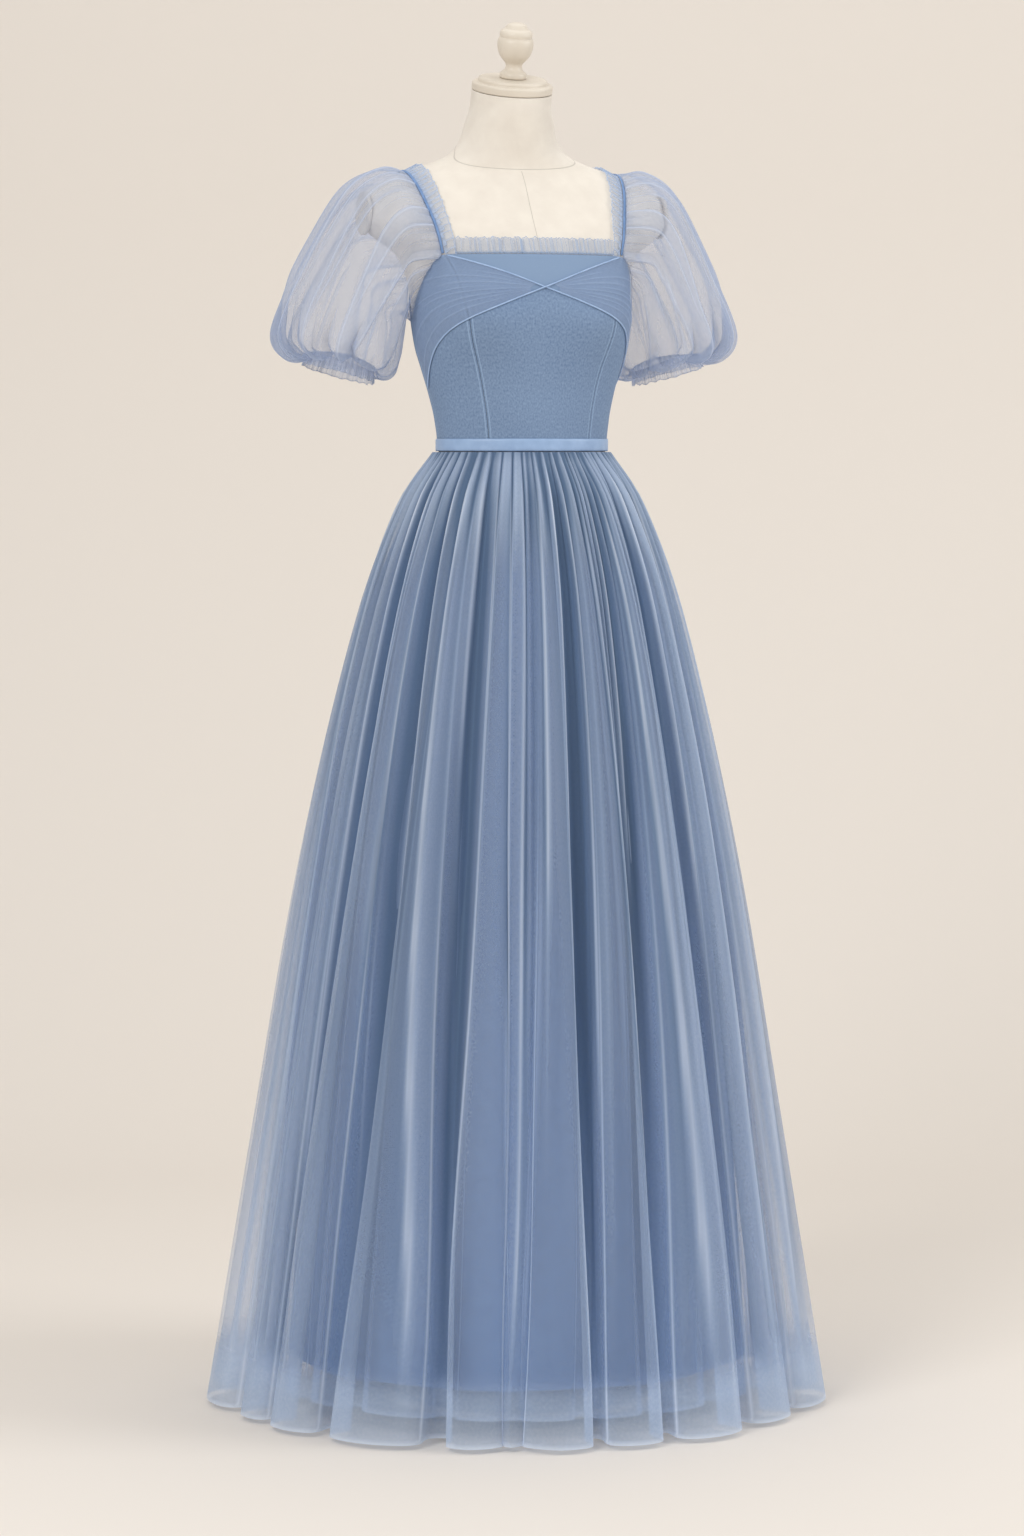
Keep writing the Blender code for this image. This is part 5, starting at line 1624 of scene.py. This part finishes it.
    def pleated(self, around: Array, up: Array) -> tuple[Array, Array, Array]:
        """Long pleats: each falls away softly on one side and drops sharply on the other.

        The front half's pleats are repeated behind, turned round and shifted a little.

        Args:
            around: Share of the way round each column.
            up: Share of the way up each row.

        Returns:
            The pleats' height, the cover that they add, and a mark along their sharp edges.
        """
        height, cover, edge = 0.0, 0.0, 0.0
        for turned_round in (False, True):
            for pleat in self.pleats:
                place = 1.018 - pleat.place if turned_round else pleat.place
                lies = -pleat.lies if turned_round else pleat.lies
                bend = pleat.slant * (1 - up) + 0.012 * np.sin(3.0 * up + 20.0 * pleat.place)
                away = lies * ((around - place - bend + 0.5) % 1.0 - 0.5)
                fade = soft_step(up, pleat.low - 0.08, pleat.low + 0.22)
                fade = fade * (1 - soft_step(up, pleat.high - 0.18, pleat.high))
                laid = np.exp(-np.maximum(away, 0.0) / pleat.width) * soft_step(away, -0.0080, 0.0)
                height = height + pleat.height * laid * fade
                cover = cover + pleat.cover * laid * fade
                edge = edge + np.exp(-((away / 0.0022) ** 2)) * fade
        return height, np.clip(cover, 0, 0.8), np.clip(edge, 0, 1)

    def frill(self) -> tuple[Array, Array, Array]:
        """Gathered frill below the cuff, uneven at its hem, and its two marks.

        Returns:
            The grid and its two marks.
        """
        cuff = self.rings[-1]
        count = self.frill_waves * 16
        turn = -np.arange(count) * 2 * np.pi / count
        half_width = np.linalg.norm(cuff.reach())
        outer_way = cuff.reach() / half_width
        down = np.array([outer_way[2], 0.0, -outer_way[0]])
        share = np.concatenate([[1.0, 0.975], np.linspace(0.94, 0.0, 14)])[:, None]
        step = np.arange(count)[None, :] / 16.0
        phase = step + 0.3 * slow_noise(step * 0.9, 51)
        big = np.cos(TURN * 14 / self.frill_waves * step + 0.6)
        wave = (0.0007 * np.cos(TURN * phase) + 0.0011 * big) * (0.25 + 0.75 * share)
        spread = share * self.frill_flare - self.frill_inset + wave
        long = 1 + 0.07 * slow_noise(step * 0.5, 52)
        front = np.sin(turn)[None, :] ** 2
        at = 0.0003 - cuff.arch * front * (1 - share) + share * self.frill_width * long
        across = np.cos(turn)[None, :] * (half_width + spread)
        depth = np.sin(turn)[None, :] * (cuff.half_depth + spread)
        grid = cuff.middle() + at[..., None] * down + across[..., None] * outer_way
        grid[..., 1] += depth
        pleat = np.clip(np.cos(TURN * phase) - 0.55, 0, 1) / 0.45
        rim = soft_step(share, 0.955, 0.985)
        body = 0.35 * (1 - soft_step(share, 0.55, 0.75))
        valley = np.clip(-np.cos(TURN * phase) - 0.5, 0, 1) / 0.5
        # Painted shade in the pleats' valleys and at the top under the cuff; the hem line is darker too
        painted_shade = 0.5 * rim + 0.4 * valley * (1 - 0.5 * share) + 0.4 * (1 - soft_step(share, 0.0, 0.2))
        return grid, np.clip(0.35 * pleat + 0.3 * valley + 0.8 * rim + body, 0, 1), painted_shade

    def build(self) -> None:
        """Builds both sleeves and both frills."""
        grid, gathered, painted_shade = self.sleeve()
        frill, frill_gathered, frill_painted_shade = self.frill()
        marks = {"gathered": gathered, "painted_shade": painted_shade}
        frill_marks = {"gathered": frill_gathered, "painted_shade": frill_painted_shade}
        for side in SIDES:
            puff = Surface(f"sleeve_{side}_tulle", grid, closed=True, marks=marks).on_side(side)
            piece = puff.build(Finish.SLEEVE_TULLE, Slot.SLEEVE, [f"sleeve_{side}"])
            edge = Surface(f"cuff_frill_{side}_tulle", frill, closed=True, marks=frill_marks).on_side(side)
            piece = edge.build(Finish.FRILL_TULLE, Slot.SLEEVE, [f"cuff_frill_{side}"])


@dataclass(frozen=True)
class SkirtSection:
    """Middle of a skirt layer's folded wall at a height, and how far its flutes rise off it."""

    height: float
    half_width: float
    front: float
    back: float
    flute: float


@dataclass(frozen=True)
class Flute:
    """A flute of the skirt: its width in degrees at the hem, its depth and its overlap.

    Its valley is the depth of the hollow where it starts, as a share of the usual one.
    """

    width: float
    depth: float
    overlap: float
    valley: float = 1.0


@dataclass(frozen=True)
class Crease:
    """A crease that starts near the waist: its place in flutes, its ends and its size.

    Its width is in metres at the hem. Its drift is in flutes from top to bottom.
    """

    place: float
    drift: float
    top: float
    bottom: float
    width: float
    depth: float


class Half(Enum):
    """The two halves of each skirt layer."""

    FRONT = "front"
    BACK = "back"


@dataclass
class SkirtLayer:
    """One layer of the skirt, as a front and a back sheet."""

    name: str
    sections: tuple[SkirtSection, ...]
    finish: Finish
    slot: Slot
    steps: int
    rows: int
    seed: int
    overlap: float
    crease_depth: float
    gather_share: float
    cut_length: float
    cut_width: float
    waves: int = 0


@dataclass
class Skirt:
    """Outer and middle tulle over a lining, gathered into the waist and falling in flutes."""

    first_angle: float = -84.7
    waist: float = 1.1416
    gathers: int = 3
    gather_heights: Profile = (
        (0.00, 0.0002), (0.40, 0.0016), (0.70, 0.0026), (0.90, 0.0030), (1.05, 0.0036),
        (1.12, 0.0032), (1.1416, 0.0016),
    )
    even_share: float = 0.5
    steepness: float = 0.28
    crest_share: float = 0.88
    edge_phase: float = 0.21
    front_flutes: tuple[Flute, ...] = (
        Flute(11.9, 0.80, 0.9), Flute(15.6, 1.00, 1.2), Flute(23.6, 1.20, 1.0), Flute(15.6, 1.00, 0.6),
        Flute(15.6, 1.10, 1.1, -0.4), Flute(14.7, 0.95, 0.8), Flute(19.0, 1.15, 1.2),
        Flute(17.4, 0.85, 0.7), Flute(23.3, 1.20, 1.2), Flute(20.0, 1.00, 1.0),
    )
    back_flutes: tuple[Flute, ...] = (
        Flute(14.0, 0.85, 0.9), Flute(22.0, 1.15, 1.1), Flute(16.0, 0.90, 0.7), Flute(19.0, 1.05, 1.2),
        Flute(13.0, 0.75, 0.8), Flute(21.0, 1.10, 1.1), Flute(17.0, 1.00, 0.9), Flute(15.0, 0.85, 0.7),
        Flute(23.0, 1.15, 1.2), Flute(23.3, 1.20, 1.0),
    )
    creases: tuple[Crease, ...] = (
        Crease(0.35, 0.10, 1.125, 0.62, 0.032, 1.0), Crease(0.80, -0.05, 1.130, 0.20, 0.026, 0.8),
        Crease(1.25, 0.12, 1.120, 0.05, 0.022, 1.1), Crease(1.72, -0.10, 1.130, 0.48, 0.029, 0.9),
        Crease(2.10, 0.08, 1.120, 0.30, 0.019, 0.7), Crease(2.46, 0.15, 1.128, 0.02, 0.026, 1.2),
        Crease(2.90, -0.08, 1.125, 0.70, 0.032, 1.0), Crease(3.30, 0.05, 1.130, 0.12, 0.022, 0.9),
        Crease(3.68, 0.10, 1.118, 0.40, 0.026, 1.1), Crease(4.02, -0.06, 1.130, 0.04, 0.019, 0.8),
        Crease(4.41, 0.06, 1.126, 0.55, 0.029, 1.0), Crease(4.83, -0.12, 1.130, 0.02, 0.022, 1.1),
        Crease(5.22, 0.04, 1.122, 0.33, 0.026, 0.9), Crease(5.64, 0.10, 1.130, 0.10, 0.019, 1.0),
        Crease(6.05, -0.08, 1.125, 0.60, 0.032, 0.8), Crease(6.37, 0.12, 1.130, 0.03, 0.022, 1.2),
        Crease(6.80, -0.05, 1.120, 0.26, 0.026, 0.9), Crease(7.21, 0.07, 1.130, 0.50, 0.022, 1.0),
        Crease(7.60, -0.10, 1.127, 0.06, 0.026, 1.1), Crease(8.08, 0.09, 1.124, 0.38, 0.019, 0.8),
        Crease(8.44, -0.06, 1.130, 0.02, 0.029, 1.1), Crease(8.87, 0.05, 1.122, 0.66, 0.022, 0.9),
        Crease(9.26, -0.04, 1.130, 0.16, 0.026, 1.0), Crease(9.66, 0.03, 1.126, 0.45, 0.029, 0.8),
    )
    layers: tuple[SkirtLayer, ...] = (
        SkirtLayer(
            "skirt_outer",
            (
                SkirtSection(0.006, 0.3458, -0.324, 0.364, 0.0275),
                SkirtSection(0.340, 0.2965, -0.277, 0.310, 0.0215),
                SkirtSection(0.660, 0.2465, -0.229, 0.256, 0.0145),
                SkirtSection(0.950, 0.1865, -0.172, 0.188, 0.0060),
                SkirtSection(1.090, 0.1375, -0.120, 0.125, 0.0020),
                SkirtSection(1.1416, 0.1066, -0.0856, 0.0838, 0.0),
            ),
            Finish.OUTER_TULLE, Slot.SKIRT, steps=44, rows=104, seed=61, overlap=1.0,
            crease_depth=0.0034, gather_share=1.0, cut_length=1.150, cut_width=2.10,
        ),
        SkirtLayer(
            "skirt_middle",
            (
                SkirtSection(0.026, 0.2990, -0.277, 0.315, 0.0100),
                SkirtSection(0.500, 0.2580, -0.2395, 0.2680, 0.0080),
                SkirtSection(0.950, 0.1785, -0.1640, 0.1790, 0.0030),
                SkirtSection(1.1416, 0.1043, -0.0833, 0.0815, 0.0),
            ),
            Finish.MIDDLE_TULLE, Slot.SKIRT, steps=32, rows=84, seed=67, overlap=0.7,
            crease_depth=0.0022, gather_share=0.6, cut_length=1.130, cut_width=1.75,
        ),
        SkirtLayer(
            "skirt_lining",
            (
                SkirtSection(0.055, 0.2740, -0.252, 0.289, 0.0040),
                SkirtSection(0.500, 0.2420, -0.223, 0.252, 0.0030),
                SkirtSection(0.950, 0.1700, -0.155, 0.170, 0.0005),
                SkirtSection(1.1416, 0.1030, -0.0820, 0.0802, 0.0),
            ),
            Finish.LINING, Slot.LINING, steps=16, rows=70, seed=71, overlap=0.0,
            crease_depth=0.0, gather_share=0.0, cut_length=1.095, cut_width=0.92, waves=4,
        ),
    )

    def sheet(self, layer: SkirtLayer, half: Half) -> tuple[Array, dict[str, Array]]:
        """Grid of one half of a layer, and its marks.

        Columns run through the flutes by phase. Each flute's angle is its phase bent by sines,
        so that its sides stand steep, and near the hem its crest is wide and laps over the narrow
        valleys. Each point moves off the oval by the cosine of its phase. At the waist the
        columns are drawn towards even gathers.

        Args:
            layer: The layer.
            half: Which half.

        Returns:
            The grid and the marks.
        """
        flutes = self.front_flutes if half is Half.FRONT else self.back_flutes
        count = len(flutes)
        step = np.linspace(0.0, count, count * layer.steps + 1)[None, :]
        index = np.minimum(step.astype(int), count - 1)
        within = step - index
        widths = np.array([flute.width for flute in flutes])
        starts = self.start_angle(half) + np.concatenate([[0.0], np.cumsum(widths)[:-1]])
        depths = np.array([flute.depth for flute in flutes])
        valleys = np.concatenate([depths[:1], (depths[:-1] + depths[1:]) / 2, depths[-1:]])
        valleys[:-1] *= [flute.valley for flute in flutes]
        knots = np.arange(2 * count + 1) / 2
        knot_depths = np.append(np.insert(depths, np.arange(count), valleys[:-1]), valleys[-1])
        depth = np.interp(step, knots, knot_depths)
        overlap = np.array([flute.overlap for flute in flutes])[index] * layer.overlap
        rise = np.linspace(0.0, 1.0, layer.rows)[:, None] ** 1.12
        hem = layer.sections[0].height
        lines = np.concatenate([[[0.0]], [[0.0015 / (self.waist - hem)]], rise[1:]])
        height = hem + lines * (self.waist - hem)
        low = 1 - soft_step(height, 0.0, 0.95)
        steep = self.steepness * (0.25 + 0.75 * soft_step(1.1 - height, 0.0, 0.4)) + 0.34 * overlap * low
        turn = TURN * within
        wide = self.crest_share * (1 - soft_step(height, 0.05, 1.05))
        around = within - 0.5 + (steep * np.sin(2 * turn) - wide * np.sin(turn)) / (2 * np.pi)
        wander = slow_noise(step * 0.55 + 1.2 * height, layer.seed) * 0.9 * np.sin(np.pi * step / count)
        angle = starts[index] + widths[index] * (around + 0.5) + wander * low
        even_width = 360.0 / (len(self.front_flutes) + len(self.back_flutes))
        even = self.start_even(half) + even_width * step
        share = self.even_share * (height - hem) / (self.waist - hem)
        angle = angle * (1 - share) + even * share
        return self.folded(layer, half, step, angle, height, -np.cos(turn) * depth)

    def start_angle(self, half: Half) -> float:
        """Angle where a half's first flute starts.

        Args:
            half: Which half.

        Returns:
            The angle in degrees.
        """
        if half is Half.FRONT:
            return self.first_angle
        return self.first_angle + sum(flute.width for flute in self.front_flutes)

    def start_even(self, half: Half) -> float:
        """Angle where a half would start if every flute had the same width.

        Args:
            half: Which half.

        Returns:
            The angle in degrees.
        """
        if half is Half.FRONT:
            return self.first_angle
        return self.first_angle + 360.0 * len(self.front_flutes) / (
            len(self.front_flutes) + len(self.back_flutes)
        )

    def folded(
        self, layer: SkirtLayer, half: Half, step: Array, angle: Array, height: Array, wave: Array
    ) -> tuple[Array, dict[str, Array]]:
        """Moves a layer's oval by its flutes, gathers and creases.

        Args:
            layer: The layer.
            half: Which half, for the creases' order.
            step: Place of each column, in flutes.
            angle: Angle round the body of each point.
            height: Height of each row.
            wave: Flutes' height at each column, as a share of the layer's own.

        Returns:
            The grid and its marks: how far it is gathered, with painted highlights on the
            gathers' ridges, the creases' crests and the flutes' lapped edges; painted shade in
            the valleys and hollows, beside the creases and under the ribbon; and how dense it is
            near the waist. Below the lining's hem a strip is painted lighter, with its net closer
            and no painted shade.
        """
        count = step[0, -1]
        flute = column_at(layer.sections, "flute", height)
        if layer.waves:
            wave = -np.cos(TURN * layer.waves * step / count)
        seam_fade = soft_step(step, 0.0, 0.25) * soft_step(count - step, 0.0, 0.25)
        phase = self.gathers * step + 0.30 * slow_noise(step * 2.2, 62) * seam_fade
        rounded = np.abs(np.sin(np.pi * phase))
        tall = smooth_curve(*zip(*self.gather_heights), height) * layer.gather_share
        ends = 0.30 + 0.28 * slow_noise(step * 3.1, 63)
        fade = soft_step(height, ends - 0.15, ends + 0.40)
        gather = tall * (2 * rounded**0.8 - 0.7) * fade
        crease, crest, shadow = self.creased(layer, half, step, height)
        extra = (gather + crease) * seam_fade if layer.crease_depth else 0.0
        move = flute * wave + extra
        turn = np.radians(angle)
        half_width = column_at(layer.sections, "half_width", height)
        front, back = (column_at(layer.sections, name, height) for name in ("front", "back"))
        middle, half_depth = (front + back) / 2, (back - front) / 2
        x, y = half_width * np.sin(turn), middle - half_depth * np.cos(turn)
        out = unit(np.stack([np.sin(turn) / half_width, -np.cos(turn) / half_depth], axis=-1))
        x, y = x + out[..., 0] * move, y + out[..., 1] * move
        grid = np.stack([x, y, np.broadcast_to(height, x.shape)], axis=-1)
        near_waist = soft_step(height, 0.98, 1.13)
        within = phase - np.floor(phase)
        # Painted highlight: a line on one flank of each gather, and the round tops of the gathers near the
        # waist
        side = np.exp(-(((within - 0.10) / 0.05) ** 2)) * fade * (0.35 + 0.3 * near_waist)
        side = side + 0.35 * rounded**3 * near_waist
        # Painted highlight along each flute's lapped edge above the hem
        off_crest = np.abs(step - np.floor(step) - 0.5) - self.edge_phase
        lip = 0.85 * np.exp(-((off_crest / 0.014) ** 2)) * (1 - soft_step(height, 0.35, 0.95))
        rim = 0.8 * (1 - soft_step(height - layer.sections[0].height, 0.0006, 0.0026))
        # Painted light: a strip below the lining's hem is lighter and loses its painted shade, over the
        # shade inside the skirt
        strip = 1 - soft_step(height, 0.052, 0.085)
        # Painted shade in the gathers' valleys, stronger near the waist; painted shadow under the ribbon;
        # painted shade in the flutes' hollows and beside the creases
        valley = (1 - rounded**0.7) * fade * (0.55 + 0.9 * near_waist)
        ribbon_painted_shadow = 0.45 * soft_step(height, 1.128, 1.1405)
        hollow = 0.75 * np.clip(-wave, 0, 1) ** 1.2 * (1 - near_waist)
        painted_shade = valley + ribbon_painted_shadow + (hollow + 0.85 * shadow) * (1 - crest)
        # gathered: closer, lighter net with the painted highlights; painted shade: the painted shade and
        # shadow above
        marks = {
            "gathered": np.clip(side + 0.75 * crest + rim + lip + 0.42 * strip, 0, 1),
            "painted_shade": np.clip(painted_shade, 0, 0.95) * (1 - strip),
            "dense": 0.7 * near_waist + 0 * step,
        }
        return grid, marks

    def creased(
        self, layer: SkirtLayer, half: Half, step: Array, height: Array
    ) -> tuple[Array, Array, Array]:
        """Height of the long creases, a painted highlight along their crests and a painted shadow on their
        sharp side.

        Each is laid over to one side: it falls off softly there and drops sharply on the other.
        It fades in below the waist and out at its lower end. The back takes them the other way.

        Args:
            layer: The layer.
            half: Which half.
            step: Place of each column, in flutes.
            height: Height of each row.

        Returns:
            The height and the two marks at each point.
        """
        count = step[0, -1]
        ridge, crest, shadow = np.zeros(np.broadcast(step, height).shape), 0.0, 0.0
        shift = 0.37 if layer.name == "skirt_middle" else 0.0
        flutes = len(self.front_flutes) + len(self.back_flutes)
        per_step = TURN * column_at(layer.sections, "half_width", height) / flutes
        fine = 0.0010 + 0.5 * per_step / layer.steps
        for crease in self.creases:
            place = crease.place + shift if half is Half.FRONT else count - crease.place - shift
            down = np.clip((crease.top - height) / crease.top, 0.0, 1.0)
            away = (step - place - crease.drift * down) * per_step
            away = away if crease.drift > 0 else -away
            fade = soft_step(height, crease.bottom - 0.02, crease.bottom + 0.22)
            fade = fade * (1 - soft_step(height, crease.top - 0.05, crease.top + 0.01))
            width = crease.width * (0.35 + 0.65 * down)
            laid = np.exp(-np.maximum(away, 0.0) / width) * soft_step(away, -0.0022, 0.0)
            ridge = ridge + crease.depth * layer.crease_depth * laid * fade
            # Painted highlight: a thin line along the crest and a faint one over the laid side
            crest = crest + (np.exp(-((away / fine) ** 2)) + 0.30 * laid) * fade
            # Painted shadow beyond the sharp side
            under = np.exp(-np.maximum(-away, 0.0) / (0.55 * width)) * soft_step(-away, 0.0, fine)
            shadow = shadow + under * fade
        return ridge, np.clip(crest, 0, 1), np.clip(shadow, 0, 1)

    def build(self) -> None:
        """Builds every layer's two halves."""
        for layer in self.layers:
            for half in Half:
                grid, marks = self.sheet(layer, half)
                node = f"{layer.name}_{half.value}"
                cloth = Surface(node + "_cloth", grid, marks=marks)
                piece = cloth.build(layer.finish, layer.slot, [node])


@dataclass
class BackZip:
    """Centre-back zip: woven tape and coil, with the slider and pull of the frame."""

    body: BodyShape
    bottom: float = 1.1600
    top: float = 1.3960
    tooth_pitch: float = 0.0016
    tooth_half_width: float = 0.0009
    coil_gap: float = 0.0012

    def tape(self) -> None:
        """Builds the tape under the teeth, as a narrow strip with a raised middle."""
        share = np.linspace(-1.0, 1.0, 9)[None, :]
        height = np.linspace(self.bottom, self.top, 160)[:, None]
        half_width = self.body.section(height)[0]
        angle = 180.0 + share * np.degrees(0.0012 / half_width)
        gap = self.coil_gap + 0.0007 + 0.0002 * (1 - share**2)
        strip = Surface("zip_tape", self.body.off(angle, height, gap))
        piece = strip.build(Finish.PIPING, Slot.ZIP, [])
        thicken(piece, 0.0004)

    def teeth(self) -> None:
        """Builds the coil's teeth: short rounded bars, left and right in turn up the tape."""
        count = int((self.top - self.bottom) / self.tooth_pitch)
        at = self.bottom + (np.arange(count) + 0.5) * self.tooth_pitch
        turn = np.arange(8) * 2 * np.pi / 8
        share = np.array([-1.0, -0.7, 0.7, 1.0])
        slim = np.array([0.35, 1.0, 1.0, 0.35])
        base = self.body.off(np.full(count, 180.0), at, np.full(count, self.coil_gap + 0.0011))
        x = np.where(np.arange(count) % 2 == 0, 0.00025, -0.00025)[:, None, None]
        x = x + share[None, :, None] * self.tooth_half_width + np.zeros((count, 4, 8))
        y = base[:, 1][:, None, None] + 0.00035 * slim[None, :, None] * np.sin(turn)
        z = base[:, 2][:, None, None] + 0.00052 * slim[None, :, None] * np.cos(turn)
        points = np.stack(np.broadcast_arrays(x, y, z), axis=-1)
        bar = Surface("bar", points[0], closed=True).faces()
        faces = (bar[None] + (np.arange(count) * 32)[:, None, None]).reshape(-1, 4)[:, ::-1].tolist()
        starts = np.arange(count)[:, None] * 32
        faces += (starts + np.arange(8)).tolist()
        faces += (starts + 24 + np.arange(8)[::-1]).tolist()
        mesh = bpy.data.meshes.new("zip_coil_teeth")
        mesh.from_pydata(points.reshape(-1, 3).tolist(), [], faces)
        mesh.shade_smooth()
        mesh.materials.append(Finish.ZIP_COAT.made())
        dress_piece(placed("zip_coil_teeth", mesh), ["zip_coil"])

    def build(self) -> None:
        """Builds the tape and teeth, and coats the slider and the pull."""
        self.tape()
        self.teeth()
        for name in ("zip_slider", "zip_pull"):
            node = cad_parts[name]
            node.data.materials.clear()
            node.data.materials.append(Finish.ZIP_COAT.made())


@dataclass
class Studio:
    """Plain pale set: a swept floor, soft lamps and the camera at the photograph's angle."""

    azimuth: float = math.radians(-18.0)
    distance: float = 5.76
    eye_height: float = 1.15
    aim_height: float = 0.7624
    aim_left: float = 0.0116
    focal_length: float = 112.5
    floor_half: float = 9.0
    sweep_start: float = 1.7
    sweep_radius: float = 1.6
    wall_height: float = 7.0
    room_light: float = 0.55
    net_passes: int = 40

    def laid_out(self, depth: Array, height: Array) -> Array:
        """Grid of paper: rows at each depth and height, across the whole set.

        Args:
            depth: Place of each row, from front to back.
            height: Height of each row.

        Returns:
            The grid.
        """
        across = np.linspace(-self.floor_half, self.floor_half, 25)
        forward = np.array([-math.sin(self.azimuth), math.cos(self.azimuth)])
        sideways = np.array([math.cos(self.azimuth), math.sin(self.azimuth)])
        x = depth[:, None] * forward[0] + across[None, :] * sideways[0]
        y = depth[:, None] * forward[1] + across[None, :] * sideways[1]
        return np.stack([x, y, np.broadcast_to(height[:, None], x.shape)], axis=-1)

    def backdrop(self) -> None:
        """Builds the paper: flat, then a quarter circle, then upright, and more floor behind it."""
        flat = np.linspace(-self.floor_half, self.sweep_start, 12)
        turn = np.linspace(0.0, np.pi / 2, 32)[1:]
        back = self.sweep_start + self.sweep_radius * np.sin(turn)
        up = self.sweep_radius * (1 - np.cos(turn))
        wall = np.linspace(self.sweep_radius, self.wall_height, 8)[1:]
        depth = np.concatenate([flat, back, np.full(len(wall), back[-1])])
        height = np.concatenate([np.zeros(len(flat)), up, wall])
        sweep = self.laid_out(depth, height)
        behind_wall = np.linspace(self.sweep_start + 0.02, self.floor_half, 6)
        floor = self.laid_out(behind_wall, np.full(6, -0.002))
        points = sweep.reshape(-1, 3).tolist() + floor.reshape(-1, 3).tolist()
        faces = Surface("sweep", sweep).faces().tolist()
        faces += (Surface("floor", floor).faces() + sweep.shape[0] * sweep.shape[1]).tolist()
        mesh = bpy.data.meshes.new("studio_backdrop")
        mesh.from_pydata(points, [], faces)
        mesh.shade_smooth()
        nodes = Nodes("studio_paper")
        paper = nodes.add(
            "BsdfPrincipled",
            {"Base Color": (*dye(230, 223, 215), 1.0), "Roughness": 0.9, "Specular IOR Level": 0.1},
        )
        behind = nodes.add("NewGeometry").outputs["Backfacing"]
        clear = nodes.add("BsdfTransparent")
        one_sided = nodes.add("MixShader", {0: behind, 1: paper.outputs[0], 2: clear.outputs[0]})
        mesh.materials.append(nodes.finish(one_sided.outputs[0]))
        placed("studio_backdrop", mesh)

    def lamp(self, name: str, place: Vector, size: float, power: float, colour: Colour) -> None:
        """Adds a square soft lamp that faces the gown.

        Args:
            name: The lamp's name.
            place: Where it stands.
            size: Its side.
            power: Its power in watts.
            colour: Its colour.
        """
        light = bpy.data.lights.new(name, "AREA")
        light.size = size
        light.energy = power
        light.color = colour
        lamp = placed(name, light)
        lamp.location = place
        lamp.rotation_euler = (Vector((0.0, 0.0, 0.85)) - place).to_track_quat("-Z", "Y").to_euler()

    def lights(self) -> None:
        """Adds the lamps and the room's own pale light."""
        self.lamp("key", Vector((-3.1, -3.0, 3.1)), 2.0, 112.0, (1.0, 0.99, 0.975))
        self.lamp("fill", Vector((3.4, -2.0, 2.4)), 2.2, 72.0, (0.98, 0.99, 1.0))
        self.lamp("top", Vector((0.2, 0.5, 4.2)), 3.0, 38.0, (1.0, 0.99, 0.98))
        world = bpy.data.worlds.new("studio_room")
        world.use_nodes = True
        ground = world.node_tree.nodes["Background"]
        ground.inputs["Color"].default_value = (*dye(250, 249, 247), 1.0)
        ground.inputs["Strength"].default_value = self.room_light
        bpy.context.scene.world = world

    def camera(self) -> None:
        """Adds the camera, back from the aim point along the photograph's angle."""
        right = Vector((math.cos(self.azimuth), math.sin(self.azimuth), 0.0))
        back = Vector((math.sin(self.azimuth), -math.cos(self.azimuth), 0.0))
        place = back * self.distance + Vector((0.0, 0.0, self.eye_height))
        aim = Vector((0.0, 0.0, self.aim_height)) - right * self.aim_left
        data = bpy.data.cameras.new("studio_camera")
        data.lens = self.focal_length
        data.sensor_width = 36.0
        camera = placed("studio_camera", data)
        camera.location = place
        camera.rotation_euler = (aim - place).to_track_quat("-Z", "Y").to_euler()
        bpy.context.scene.camera = camera

    def build(self) -> None:
        """Builds the set, and lets light pass through as many layers of net as there are."""
        self.backdrop()
        self.lights()
        self.camera()
        scene = bpy.context.scene
        scene.view_settings.view_transform = "Standard"
        scene.cycles.transparent_max_bounces = self.net_passes


def main() -> None:
    """Builds the form, the gown from the inside out, and the studio."""
    logging.basicConfig(level=logging.INFO, format="%(message)s")
    body = BodyShape()
    DressForm(body).build()
    bodice = Bodice(body)
    bodice.build()
    BustDrapes(body, bodice).build()
    trim = NeckTrim(body)
    trim.build()
    PuffSleeves(body, bodice, trim).build()
    Skirt().build()
    BackZip(body).build()
    Studio().build()


if __name__ == "__main__":
    main()
